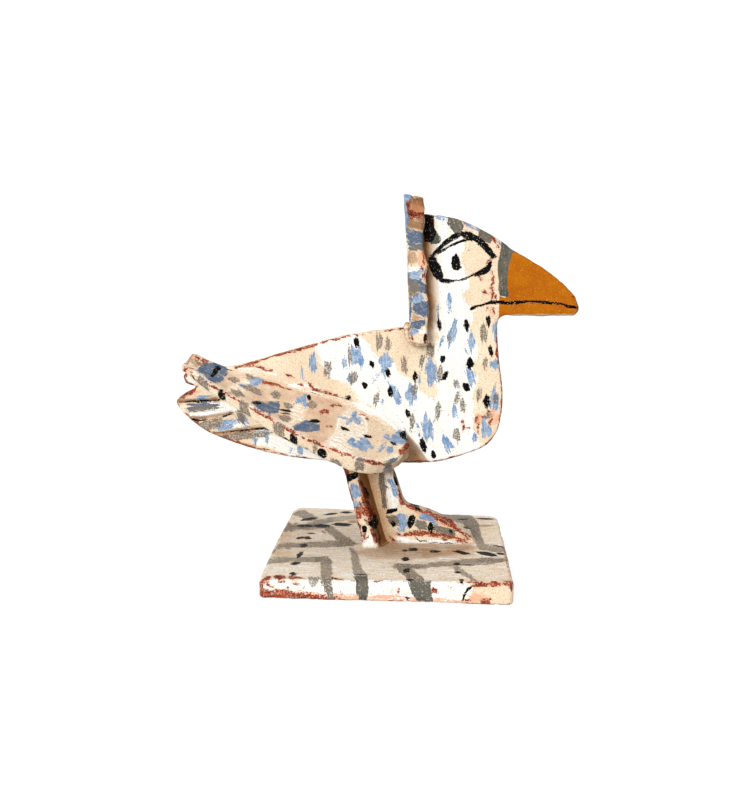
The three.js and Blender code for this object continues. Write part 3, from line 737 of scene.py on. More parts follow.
class StageSizes(bpy.types.PropertyGroup):
    """Floor and light"""

    floor: colour_property("Floor", "Pale floor", "#565554")
    glow: bpy.props.FloatProperty(name="Glow", description="Light of the floor, a lit table", default=0.88, min=0)
    key: bpy.props.FloatProperty(name="Key", description="Soft light from the front left", default=3.35, min=0)
    top: bpy.props.FloatProperty(name="Top", description="Very soft light from above", default=3, min=0)
    room: bpy.props.FloatProperty(name="Room", description="Light of the pale room", default=0.2, min=0)


def settings():
    scene = bpy.context.scene
    return scene.clay_bird_sizes, scene.clay_bird_colours, scene.clay_bird_stage


def add(tree, kind, inputs=None, **values):
    """A node with its settings, its sockets filled by links or values."""
    node = tree.nodes.new(kind)
    for name, value in values.items():
        setattr(node, name, value)
    for name, value in (inputs or {}).items():
        if isinstance(value, bpy.types.NodeSocket):
            tree.links.new(value, node.inputs[name])
        else:
            node.inputs[name].default_value = value
    return node


def coat_cover(tree, coat, grit, ragged, bristle, run, streak, soft, thin, dry):
    """Cover of one brushed coat, 0 to 1, with its bristle marks and its shape.

    ragged: mm that bristles and grit move the edge; bristle, run: width and length of a
    bristle mark in mm; streak: share of bristle marks, over grit, in the thin places;
    soft: mm over which the edge fades; thin: cover where the brush ran dry; dry: how far
    the marks must rise before it did.
    """
    stroke = add(tree, "ShaderNodeAttribute", attribute_name=coat).outputs["Vector"]
    outside = add(tree, "ShaderNodeSeparateXYZ", {0: stroke}).outputs["Z"]
    laid = add(tree, "ShaderNodeVectorMath", {0: stroke, 1: (1 / run, 1 / bristle, 0)}, operation="MULTIPLY")
    marks = add(tree, "ShaderNodeTexNoise", {"Vector": laid.outputs[0], "Scale": 1, "Detail": 2, "Roughness": 0.6},
                noise_dimensions="2D").outputs[0]
    both = add(tree, "ShaderNodeMath", {0: marks, 1: grit}, operation="ADD").outputs[0]
    moved = add(tree, "ShaderNodeMath", {0: both, 1: -1.0}, operation="ADD").outputs[0]
    edge = add(tree, "ShaderNodeMath", {0: moved, 1: ragged * 2, 2: outside}, operation="MULTIPLY_ADD").outputs[0]
    shape = add(tree, "ShaderNodeMapRange", {"Value": edge, "From Min": soft, "From Max": -soft},
                interpolation_type="SMOOTHSTEP").outputs[0]
    worn = add(tree, "ShaderNodeMix", {0: streak, 2: grit, 3: marks}).outputs[0]
    full = add(tree, "ShaderNodeMapRange", {
        "Value": worn, "From Min": dry, "From Max": dry - DRY_FADE, "To Min": thin},
        interpolation_type="SMOOTHSTEP").outputs[0]
    cover = add(tree, "ShaderNodeMath", {0: shape, 1: full}, operation="MULTIPLY").outputs[0]
    return cover, marks, shape, outside


def brushed_slip_on_earthenware():
    """Red earthenware, slab-built, under brushed slips and stains, fired without a glaze.

    The eye gets a dry chalky cream that thins to salmon and iron red on worn edges, streaks of
    a broad brush in the white, broken blue and grey dabs, and thick black with painted cream glints.
    Brown painted shade lies in creases, in joints and under the wing's front end.
    """
    _, colour, _ = settings()
    name = "brushed_slip_on_earthenware"
    if name in bpy.data.materials:
        return bpy.data.materials[name]
    material = bpy.data.materials.new(name)
    material.use_nodes = True
    tree = material.node_tree
    shader = tree.nodes["Principled BSDF"]
    place = add(tree, "ShaderNodeTexCoord").outputs["Object"]

    # Noise by size in mm: grit and fine grain of the slip, soaking, mottle, slow clouds
    grit, grain, soak, mottle, cloud = (
        add(tree, "ShaderNodeTexNoise", {
            "Vector": place, "Scale": 1 / MM / size, "Detail": detail, "Roughness": 0.62}).outputs[0]
        for size, detail in ((0.9, 3), (0.75, 1), (3.2, 2), (7, 4), (28, 3)))

    # Shares between two colours, or of a colour laid over, each from a noise: from, to, least, most
    share = {}
    for key, value, low, high, least, most in (
        ("burn", mottle, 0.38, 0.62, 0, 1), ("pale", grit, 0.58, 0.7, 0, 0.38), ("deep", cloud, 0.38, 0.64, 0, 0.9),
        ("patchy", mottle, 0.34, 0.62, 0.5, 1), ("pepper", grain, 0.61, 0.71, 0, 0.55),
        ("dust", grit, 0.46, 0.68, 0, 0.7), ("dry", soak, 0.4, 0.64, 0, 0.9), ("full", mottle, 0.4, 0.62, 0, 1),
        ("scuff", grit, 0.56, 0.68, 0, 0.5), ("salt", grain, 0.33, 0.25, 0, 0.32),
        # glint: painted highlight flecks of cream, laid on the black
        ("glint", grain, 0.34, 0.27, 0, 0.75),
    ):
        share[key] = add(tree, "ShaderNodeMapRange", {
            "Value": value, "From Min": low, "From Max": high, "To Min": least, "To Max": most}).outputs[0]

    # Brush of each coat, as coat_cover has it: ragged, bristle, run, streak, soft, thin, dry
    cover, marks, shape, outside = {}, {}, {}, {}
    for coat, *brush in (
        ("bare", 1.6, 1.3, 5, 0.25, 0.2, 0.38, 0.65),
        ("white", 2.2, 0.9, 26, 0.85, 0.7, 0.5, 0.655),
        ("salmon", 2.4, 1.2, 10, 0.3, 1, 0.3, 0.64),
        ("tan", 2.2, 1.1, 9, 0.3, 0.9, 0.4, 0.66),
        ("blue", 1.5, 0.9, 6, 0.4, 0.2, 0.35, 0.66),
        ("steel", 1.4, 0.9, 8, 0.35, 0.25, 0.56, 0.66),
        ("grey", 1.3, 0.9, 8, 0.1, 0.3, 0.35, 0.63),
        ("ochre", 0.5, 1, 8, 0.2, 0.15, 0.92, 0.72),
        ("slate", 0.7, 0.9, 9, 0.3, 0.25, 0.5, 0.7),
        ("black", 0.8, 0.7, 5, 0.4, 0.12, 0.72, 0.8),
    ):
        cover[coat], marks[coat], shape[coat], outside[coat] = coat_cover(tree, coat, grit, *brush)
    wash, hollow, load = (
        add(tree, "ShaderNodeAttribute", attribute_name=name).outputs["Fac"] for name in ("wash", "hollow", "load"))

    # Colours that run between two: burnt and plain clay, thin and thick slip, dry and full strokes
    clay, slip, blue, slate, ochre = (
        add(tree, "ShaderNodeMix", {0: share[key], 6: plain, 7: other}, data_type="RGBA").outputs[2]
        for key, plain, other in (
            ("burn", colour.clay, colour.clay_dark), ("deep", colour.cream, colour.cream_deep),
            ("dry", colour.blue, colour.blue_pale), ("full", colour.slate, colour.slate_dark),
            ("full", colour.ochre, colour.ochre_dark)))
    clay, ochre = (
        add(tree, "ShaderNodeMix", {0: share[key], 6: under, 7: flecks}, data_type="RGBA").outputs[2]
        for key, under, flecks in (("pale", clay, colour.salmon), ("scuff", ochre, colour.ochre_pale)))

    # Iron specks burnt through the slip, 0.5 mm, one in each few cells
    cell = add(tree, "ShaderNodeTexVoronoi", {"Vector": place, "Scale": 1 / MM / SPECK_CELL})
    chance = add(tree, "ShaderNodeSeparateColor", {0: cell.outputs["Color"]}).outputs[0]
    speck_size = add(tree, "ShaderNodeMapRange", {
        "Value": chance, "From Min": 0.68, "From Max": 1, "To Max": 0.15}).outputs[0]
    speck_edge = add(tree, "ShaderNodeMath", {0: speck_size, 1: cell.outputs["Distance"]},
                     operation="SUBTRACT").outputs[0]
    speck = add(tree, "ShaderNodeMapRange", {
        "Value": speck_edge, "From Min": 0, "From Max": 0.05, "To Max": 0.8}).outputs[0]

    # Salmon rim where the slip thins towards bare clay; thinner grey where less was loaded; painted brown shade in
    # creases, joints and cast shadows, with the crest's own brown stain; painted cream glints on the black
    rim_edge = add(tree, "ShaderNodeMath", {0: mottle, 1: -3.2, 2: outside["bare"]},
                   operation="MULTIPLY_ADD").outputs[0]
    rim = add(tree, "ShaderNodeMapRange", {"Value": rim_edge, "From Min": -0.6, "From Max": -2.1, "To Max": 0.55},
              interpolation_type="SMOOTHSTEP").outputs[0]
    wash, grey, dark, glint = (
        add(tree, "ShaderNodeMath", {0: a, 1: b}, operation="MULTIPLY", use_clamp=True).outputs[0]
        for a, b in (
            (wash, share["patchy"]), (cover["grey"], load), (hollow, mottle), (share["glint"], shape["black"])))
    brown_shade_and_stain = add(tree, "ShaderNodeMath", {0: dark, 1: SHADE_AND_STAIN_MOTTLE, 2: hollow}, operation="MULTIPLY_ADD",
                use_clamp=True).outputs[0]

    # The coats in the order in which they were brushed on; the painted brown shade, with the crest's brown stain, is
    # a filter, laid twice; the cream glints on the black are painted highlights
    paint = slip
    for amount, coat_colour in (
        (wash, colour.beige), (share["dust"], colour.beige), (cover["white"], colour.white), (share["pepper"], clay),
        (speck, clay), (rim, colour.salmon), (cover["salmon"], colour.salmon), (cover["bare"], clay),
        (cover["tan"], colour.tan), (cover["blue"], blue), (cover["steel"], colour.steel), (grey, colour.grey),
        (brown_shade_and_stain, colour.brown_shade_and_stain), (brown_shade_and_stain, colour.brown_shade_and_stain), (share["salt"], colour.cream), (cover["ochre"], ochre),
        (cover["slate"], slate), (cover["black"], colour.black), (glint, colour.cream),
    ):
        blend = "MULTIPLY" if amount is brown_shade_and_stain else "MIX"
        paint = add(tree, "ShaderNodeMix", {0: amount, 6: paint, 7: coat_colour}, data_type="RGBA",
                    blend_type=blend).outputs[2]
    tree.links.new(paint, shader.inputs["Base Color"])

    # Chalky slip, drier clay, black and ochre with a slight shine
    rough = add(tree, "ShaderNodeMapRange", {
        "Value": grit, "From Min": 0.3, "From Max": 0.7, "To Min": 0.6, "To Max": 0.85}).outputs[0]
    height = add(tree, "ShaderNodeMath", {0: grain, 1: 0.6, 2: grit}, operation="MULTIPLY_ADD").outputs[0]
    ridge = add(tree, "ShaderNodeMath", {0: marks["white"], 1: cover["white"]}, operation="MULTIPLY").outputs[0]
    for amount, dulling, rise in (
        (ridge, 0, 0.9), (cover["ochre"], -0.15, 0.1), (shape["black"], -0.25, 0.5), (shape["blue"], 0, 0.25),
        (shape["steel"], 0, 0.25), (cover["bare"], 0, -0.8),
    ):
        rough = add(tree, "ShaderNodeMath", {0: amount, 1: dulling, 2: rough}, operation="MULTIPLY_ADD").outputs[0]
        height = add(tree, "ShaderNodeMath", {0: amount, 1: rise, 2: height}, operation="MULTIPLY_ADD").outputs[0]
    tree.links.new(rough, shader.inputs["Roughness"])
    shader.inputs["IOR"].default_value = 1.48
    shader.inputs["Specular IOR Level"].default_value = 0.04
    relief = add(tree, "ShaderNodeBump", {"Strength": 0.6, "Distance": 0.28 * MM, "Height": height})
    tree.links.new(relief.outputs[0], shader.inputs["Normal"])
    return material


def select_only(piece):
    bpy.ops.object.select_all(action="DESELECT")
    piece.select_set(True)
    bpy.context.view_layer.objects.active = piece


def finish_with(piece, kind, **values):
    """Adds a modifier, sets it and applies it."""
    select_only(piece)
    step = piece.modifiers.new(kind.lower(), kind)
    for name, value in values.items():
        setattr(step, name, value)
    bpy.ops.object.modifier_apply(modifier=step.name)


def slab_copy(node, name):
    """Own copy of a solid, its loose triangles merged."""
    piece = bpy.data.objects.new(name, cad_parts[node].data.copy())
    bpy.context.scene.collection.objects.link(piece)
    piece.data.materials.clear()
    select_only(piece)
    bpy.ops.object.mode_set(mode="EDIT")
    bpy.ops.mesh.select_all(action="SELECT")
    bpy.ops.mesh.remove_doubles(threshold=MERGE_GAP)
    bpy.ops.object.mode_set(mode="OBJECT")
    return piece


def pick_points(piece, chosen):
    """Leaves edit mode on with just the chosen vertices selected."""
    select_only(piece)
    bpy.ops.object.mode_set(mode="EDIT")
    bpy.ops.mesh.select_mode(type="VERT")
    bpy.ops.mesh.select_all(action="DESELECT")
    bpy.ops.object.mode_set(mode="OBJECT")
    piece.data.vertices.foreach_set("select", chosen)
    bpy.ops.object.mode_set(mode="EDIT")


def points_of(piece):
    flat = np.empty(len(piece.data.vertices) * 3, np.float32)
    piece.data.vertices.foreach_get("co", flat)
    return flat.reshape(-1, 3).astype(float) / MM


def move_points(piece, points):
    piece.data.vertices.foreach_set("co", (points * MM).astype(np.float32).ravel())
    piece.data.update()


def normals_of(piece):
    flat = np.empty(len(piece.data.vertices) * 3, np.float32)
    piece.data.vertex_normals.foreach_get("vector", flat)
    return flat.reshape(-1, 3).astype(float)


def field(points, size, shift=0):
    """Smooth noise, about -1 to 1, with waves of the given size in mm."""
    return np.array([noise.noise(Vector(p)) for p in points / size + shift])


def clouds(name, size):
    texture = bpy.data.textures.new(name, "CLOUDS")
    texture.noise_scale = size * MM
    texture.noise_depth = 2
    return texture


def work_clay(piece, grain, soften, crisp):
    """Remeshes a slab finely, softens it and wears it; returns how sharp each point's edge was and how hollow, which
    sets the painted shade in its creases.

    crisp: mm by which edges rounded off in the remesh are drawn out again.
    """
    sizes, _, _ = settings()
    finish_with(piece, "REMESH", mode="VOXEL", voxel_size=grain, use_smooth_shade=True)
    finish_with(piece, "SMOOTH", factor=0.5, iterations=soften)
    points, normals = points_of(piece), normals_of(piece)
    pairs = np.empty(len(piece.data.edges) * 2, np.int32)
    piece.data.edges.foreach_get("vertices", pairs)
    a, b = pairs.reshape(-1, 2).T
    count = len(points)
    degree = np.bincount(a, minlength=count) + np.bincount(b, minlength=count)

    def round_about(values):
        return (np.bincount(a, values[b], count) + np.bincount(b, values[a], count)) / degree

    middle = np.stack([round_about(points[:, i]) for i in range(3)], 1)
    bend = ((points - middle) * normals).sum(1) / (grain / MM) ** 2
    edge, hollow = np.clip(bend / EDGE_BEND, 0, 1), np.clip(-bend / HOLLOW_BEND, 0, 1)
    for _ in range(round(BEND_SPREAD * MM / grain)):
        edge = np.maximum(edge, 0.5 * edge + 0.5 * round_about(edge))
        hollow = 0.5 * hollow + 0.5 * round_about(hollow)
    edge = 0.5 * edge + 0.5 * round_about(edge)
    # Waves by size in mm
    for name, size, height in (
        ("roll", 26, sizes.roll_wave), ("thumb", 7.5, sizes.thumb_wave), ("drag", 2, sizes.drag_wave)):
        finish_with(piece, "DISPLACE", texture=clouds(piece.name + "_" + name, size), strength=height,
                    mid_level=0.5, texture_coords="LOCAL")
    points, normals = points_of(piece), normals_of(piece)
    bites, crumbs = field(points, size=5.5, shift=3), field(points, size=2.1, shift=9)
    nibble = 0.25 + 0.9 * np.clip(bites + 0.5 * crumbs, 0, 1)
    points += normals * (edge * (crisp - nibble * sizes.edge_wear / MM))[:, None]
    move_points(piece, points)
    return edge, hollow


def camera_axes():
    yaw, pitch, roll = (math.radians(angle) for angle in (YAW, PITCH, ROLL))
    ahead = Vector((-math.sin(yaw) * math.cos(pitch), math.cos(yaw) * math.cos(pitch), -math.sin(pitch)))
    right = ahead.cross(Vector((0, 0, 1))).normalized()
    up = right.cross(ahead)
    turn, tip = math.cos(roll), math.sin(roll)
    return turn * right + tip * up, turn * up - tip * right, ahead


def sight(x, y):
    """Direction of the line of sight through a pixel of the picture."""
    right, up, ahead = camera_axes()
    return (ahead + (x - PICTURE[0] / 2) / FOCAL * right + (PICTURE[1] / 2 - y) / FOCAL * up).normalized()


def in_picture(points):
    """Pixels of the picture that points fall on, and the pixels to a mm there."""
    right, up, ahead = (np.array(axis) for axis in camera_axes())
    offset = points - EYE
    scale = FOCAL / (offset @ ahead)
    return np.stack([PICTURE[0] / 2 + scale * (offset @ right), PICTURE[1] / 2 - scale * (offset @ up)], 1), scale


def outside_of(corners, spots):
    """Distance outside an area of the picture, negative within it, in pixels."""
    best, within = np.full(len(spots), 1e9), np.zeros(len(spots), bool)
    for a, b in zip(corners, np.roll(corners, -1, 0)):
        run = b - a
        share = np.clip((spots - a) @ run / (run @ run), 0, 1)
        best = np.minimum(best, np.linalg.norm(spots - a - share[:, None] * run, axis=1))
        crossed = (a[1] > spots[:, 1]) != (b[1] > spots[:, 1])
        within ^= crossed & (spots[:, 0] < a[0] + run[0] * (spots[:, 1] - a[1]) / (run[1] or 1))
    return np.where(within, -best, best)


def draw_out(points, moves, flip=1):
    """Draws the clay out by small moves of the picture: from x, y by so many pixels right and down."""
    spots, scale = in_picture(points * (1, flip, 1))
    pull, total = np.zeros((len(points), 2)), np.zeros(len(points))
    for x, y, right, down in moves:
        near = np.exp(-(((spots - (x, y)) / MOVE_REACH) ** 2).sum(1))
        pull += near[:, None] * (right, -down)
        total += near
    pull /= (np.maximum(total, 1) * scale)[:, None]
    points[:, 0] += pull[:, 0]
    points[:, 2] += pull[:, 1]


def nearness(points, nodes, reach):
    """How near points lie to other solids: 1 at their surface, 0 from a reach in mm on."""
    near = np.zeros(len(points))
    for node in nodes:
        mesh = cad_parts[node].data
        tree = BVHTree.FromPolygons([v.co for v in mesh.vertices], [f.vertices for f in mesh.polygons])
        for i, point in enumerate(points):
            gap = tree.find_nearest(Vector(point) * MM, reach * MM)[3]
            if gap is not None:
                near[i] = max(near[i], 1 - gap / (reach * MM))
    return near


def ripple(values, seed):
    """Smooth one-way noise, -1 to 1, for brush ends and widths."""
    cell = np.floor(values)
    share = values - cell
    share = share * share * (3 - 2 * share)
    step = [np.modf(np.sin((cell + k) * HASH[0] + seed * HASH[1]) * HASH[2])[0] for k in (0, 1)]
    return step[0] * (1 - share) + step[1] * share


def along_surface(way, normal):
    """A way turned into the surface, of length 1."""
    way = way - normal * (way @ normal)
    return way / np.linalg.norm(way)


class Coating:
    """Strokes laid on one piece, kept on its points: way along and across the nearest stroke of
    each coat, and the distance outside its edge, all in mm."""

    # mm outside an edge that stand for no stroke at all
    far = 9.0
    # Share by which the bristles vary the width and the ends of each coat's strokes
    ragged = {"bare": 0.5, "white": 0.25, "salmon": 0.4, "tan": 0.4, "blue": 0.42, "steel": 0.4, "grey": 0.3,
              "ochre": 0, "slate": 0.2, "black": 0.28}

    def __init__(self, piece):
        self.piece = piece
        self.points, self.normals = points_of(piece), normals_of(piece)
        self.tree = BVHTree.FromObject(piece, bpy.context.evaluated_depsgraph_get())
        self.rows = {}
        for coat in COATS:
            self.rows[coat] = np.zeros((len(self.points), 3))
            self.rows[coat][:, 2] = self.far
        self.wash, self.hollow = np.zeros(len(self.points)), np.zeros(len(self.points))
        self.load = np.full(len(self.points), 1.0)
        self.views = {}

    def view(self, flip, through=False):
        """The points in the picture, or their mirror image in it, with scale and turn to the eye.

        through: as if all lay on the near face and faced the eye.
        """
        if (flip, through) not in self.views:
            points, normals = self.points * (1, flip, 1), self.normals * (1, flip, 1)
            if through:
                points[:, 1] = -HALF_SLAB
            spots, scale = in_picture(points)
            back = EYE - points
            facing = (normals * back).sum(1) / np.linalg.norm(back, axis=1)
            self.views[flip, through] = spots, scale, np.where(through, 1, facing)
        return self.views[flip, through]

    def nearest(self, place):
        spot, normal, _, _ = self.tree.find_nearest(Vector(place) * MM)
        return np.array(spot) / MM, np.array(normal)

    def meet(self, x, y):
        """Place and normal where a line of sight meets the piece, or passes it closest."""
        start, way = Vector(EYE) * MM, sight(x, y)
        spot, normal, _, _ = self.tree.ray_cast(start, way)
        if spot is None:
            spot = start + way * EYE_TO_BIRD
            for _ in range(CLOSING_STEPS):
                near, normal, _, _ = self.tree.find_nearest(spot)
                spot = start + way * (near - start).dot(way)
            spot = near
        return np.array(spot) / MM, np.array(normal)

    @staticmethod
    def dab(spot, normal, along, half, seed):
        return {"spot": spot, "along": along, "across": np.cross(normal, along), "normal": normal,
                "half": half, "seed": seed}

    @staticmethod
    def line(start, end, met, seed):
        return {"path": np.array([m[0] for m in met]), "normal": np.mean([m[1] for m in met], 0),
                "ends": (start / 2, end / 2), "seed": seed}

    def dab_seen(self, x, y, width, length, lean):
        spot, normal = self.meet(x, y)
        turn, rise = math.cos(math.radians(lean)), math.sin(math.radians(lean))
        steps = []
        for dx, dy in ((turn, rise), (-rise, turn)):
            way = np.array(sight(x + dx, y + dy))
            reach = ((spot - EYE) @ normal) / min(way @ normal, GRAZING)
            steps.append(np.array(EYE) + way * reach - spot)
        along = steps[0] / np.linalg.norm(steps[0])
        half = (length / 2 * np.linalg.norm(steps[0]), width / 2 * abs(steps[1] @ np.cross(normal, along)))
        return self.dab(spot, normal, along, half, x + 3 * y)

    def dab_at(self, place, width, length, turn, seed):
        """Dab of sizes in mm at a place, upright but for a turn in degrees."""
        spot, normal = self.nearest(place)
        upright = np.array((0, 0, 1.0)) if abs(normal[2]) < 0.8 else np.array((0, 1.0, 0))
        along = along_surface(upright, normal)
        across = np.cross(normal, along)
        c, s = math.cos(math.radians(turn)), math.sin(math.radians(turn))
        return self.dab(spot, normal, along * c + across * s, (length / 2, width / 2), seed)

    def line_seen(self, start, end, picture_points):
        return self.line(start, end, [self.meet(*p) for p in picture_points], picture_points[0][0])

    def line_at(self, start, end, places):
        return self.line(start, end, [self.nearest(p) for p in places], places[0][0])

    def patch_seen(self, lean, corners, through=False):
        return {"corners": np.array(corners, float), "lean": math.radians(lean), "flip": 1, "through": through,
                "seed": corners[0][0]}

    def mirrored(self, stroke, shift=(0, 0, 0)):
        """The same stroke on the other side of the bird, laid on this piece."""
        flip = np.array((1, -1, 1))
        if "corners" in stroke:
            return {**stroke, "flip": -stroke["flip"]}
        if "path" in stroke:
            places = [self.nearest(p * flip + shift) for p in stroke["path"]]
            return {**stroke, "path": np.array([p[0] for p in places]), "normal": stroke["normal"] * flip}
        spot, normal = self.nearest(stroke["spot"] * flip + shift)
        along = along_surface(stroke["along"] * flip, normal)
        return self.dab(spot, normal, along, stroke["half"], stroke["seed"] + 5)

    def measure(self, stroke, ragged):
        """Indices of the points near a stroke, with their way along, across and outside it."""
        if "corners" in stroke:
            return self.measure_area(stroke)
        near, along, across, outside = (self.measure_line if "path" in stroke else self.measure_dab)(stroke, ragged)
        facing = self.normals[near] @ stroke["normal"]
        outside = np.where(facing < STROKE_FACING, self.far, outside)
        return near, along + stroke["seed"] * SEED_SHIFT, across, outside

    def measure_area(self, stroke):
        corners = stroke["corners"]
        spots, scale, facing = self.view(stroke["flip"], stroke["through"])
        around = (spots > corners.min(0) - AREA_ROOM) & (spots < corners.max(0) + AREA_ROOM)
        near = np.flatnonzero(around.all(1) & (facing > AREA_FACING))
        spots, scale = spots[near], scale[near]
        c, s = math.cos(stroke["lean"]), math.sin(stroke["lean"])
        return near, spots @ (c, s) / scale, spots @ (-s, c) / scale, outside_of(corners, spots) / scale

    def measure_line(self, stroke, ragged):
        path, (start, end) = stroke["path"], stroke["ends"]
        room = max(start, end) * 1.4 + LINE_ROOM
        around = (self.points > path.min(0) - room) & (self.points < path.max(0) + room)
        near = np.flatnonzero(around.all(1))
        p = self.points[near]
        best = np.full(len(near), 1e9)
        along, across = np.zeros(len(near)), np.zeros(len(near))
        done = 0.0
        for a, b in zip(path[:-1], path[1:]):
            run = b - a
            length = np.linalg.norm(run)
            share = np.clip((p - a) @ run / length ** 2, 0, 1)
            off = p - a - share[:, None] * run
            gap = np.linalg.norm(off, axis=1)
            side = np.cross(stroke["normal"], run / length)
            closer = gap < best
            best = np.where(closer, gap, best)
            along = np.where(closer, done + share * length, along)
            across = np.where(closer, off @ side, across)
            done += length
        wide = start + (end - start) * along / done
        wide = wide * (1 + ragged * ripple(along / LINE_WAVE, stroke["seed"]))
        return near, along, across, best - wide

    def measure_dab(self, stroke, ragged):
        (long, wide), seed = stroke["half"], stroke["seed"]
        offset = self.points - stroke["spot"]
        near = np.flatnonzero((np.abs(offset) < max(long, wide) * 1.5 + DAB_ROOM).all(1))
        along, across, off = (offset[near] @ stroke[way] for way in ("along", "across", "normal"))
        ends = 1 + ragged * ripple(across / DAB_BRISTLE + 40, seed + (along > 0) * 17)
        sides = 1 + 0.35 * ragged * ripple(along / DAB_WAVE + 40, seed + 7)
        out = (np.abs(along) / (long * ends)) ** DAB_SQUARE + (np.abs(across) / (wide * sides)) ** DAB_SQUARE
        outside = (out ** (1 / DAB_SQUARE) - 1) * min(long, wide)
        return near, along, across, np.maximum(outside, np.abs(off) - DAB_DEPTH)

    def lay(self, coat, strokes):
        row = self.rows[coat]
        for stroke in strokes:
            near, along, across, outside = self.measure(stroke, self.ragged[coat])
            closer = outside < row[near, 2]
            row[near[closer]] = np.stack([along, across, outside], 1)[closer]

    def lay_seen(self, dabs, lines, patches):
        """Lays the strokes that the picture shows and returns them by coat."""
        made = {}
        for coat in COATS:
            made[coat] = [
                see(*row)
                for see, rows in ((self.dab_seen, dabs), (self.line_seen, lines), (self.patch_seen, patches))
                for row in rows.get(coat, ())]
            self.lay(coat, made[coat])
        return made

    def lay_mirrored(self, made, keep, stray, chance):
        """Lays strokes of the near side on the far one: lines and areas true, dabs fewer and strayed."""
        for coat, strokes in made.items():
            kept = []
            for stroke in strokes:
                if "half" not in stroke:
                    kept.append(self.mirrored(stroke))
                elif chance.random() < keep:
                    shift = (chance.uniform(-stray, stray), 0, chance.uniform(-stray, stray))
                    kept.append(self.mirrored(stroke, shift))
            self.lay(coat, kept)

    def scatter(self, chance, chosen, rows):
        """Lays each row's dabs on chosen points, a little apart."""
        options = np.flatnonzero(chosen)
        for coat, count, width, length, turn in rows:
            spots = []
            for _ in range(count * SCATTER_TRIES):
                if len(spots) == count or len(options) == 0:
                    break
                place = self.points[options[chance.randrange(len(options))]]
                if all(np.linalg.norm(place - other) > SCATTER_GAP * length for other in spots):
                    spots.append(place)
            self.lay(coat, [
                self.dab_at(place, width * chance.uniform(*SCATTER_SIZES), length * chance.uniform(*SCATTER_SIZES),
                            chance.uniform(-turn, turn), chance.uniform(0, 90))
                for place in spots])

    def tint(self, values, areas, chosen, flip=1, soft=4):
        """Sets the wash, the painted shade and stain, or the load of grey over areas of the picture, with edges so
        many pixels soft.
        """
        spots, _, _ = self.view(flip)
        for depth, corners in areas:
            inside = np.clip(0.5 - outside_of(np.array(corners, float), spots) / soft, 0, 1) * chosen
            values += (depth - values) * inside

    def thin_white(self, chosen, least, more):
        """Streaks of white, in level strokes, where the wash lies thin: mm outside at no wash, and more at full."""
        p = self.points[chosen]
        along, across = STREAK_SHORTER * p[:, 0], STREAK_WIDER * p[:, 1]
        self.rows["white"][chosen] = np.stack([along, across, least + more * self.wash[chosen]], 1)

    def wear(self, edge, amount, patch=16):
        """Rubs the coats off sharp edges by an amount in mm, more in some stretches of patch mm than in others."""
        worn = np.flatnonzero(edge > WEAR_LEAST)
        if len(worn) == 0:
            return
        p = self.points[worn]
        stretches, nicks = 1.5 * field(p, patch, 21), 1.1 * field(p, 3.2, 5)
        outside = WEAR_REACH * (WEAR_SHARP - edge[worn]) - stretches - nicks - amount
        row = self.rows["bare"]
        closer = outside < row[worn, 2]
        row[worn[closer]] = np.stack([p[:, 0] + p[:, 2], p[:, 1], outside], 1)[closer]

    def save(self):
        mesh = self.piece.data
        for coat in COATS:
            layer = mesh.attributes.new(coat, "FLOAT_VECTOR", "POINT")
            layer.data.foreach_set("vector", self.rows[coat].astype(np.float32).ravel())
        for name, values in (("wash", self.wash), ("hollow", self.hollow), ("load", self.load)):
            layer = mesh.attributes.new(name, "FLOAT", "POINT")
            layer.data.foreach_set("value", values.astype(np.float32))


def finish_piece(piece, node):
    """Smooth shading, the painted surface, and the piece's place in the frame."""
    select_only(piece)
    bpy.ops.object.shade_smooth()
    piece.data.materials.clear()
    piece.data.materials.append(brushed_slip_on_earthenware())
    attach(piece, "root")
    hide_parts(node)


def base_top(x):
    return BASE_THICK + BASE_RISE * x / BASE_WIDE


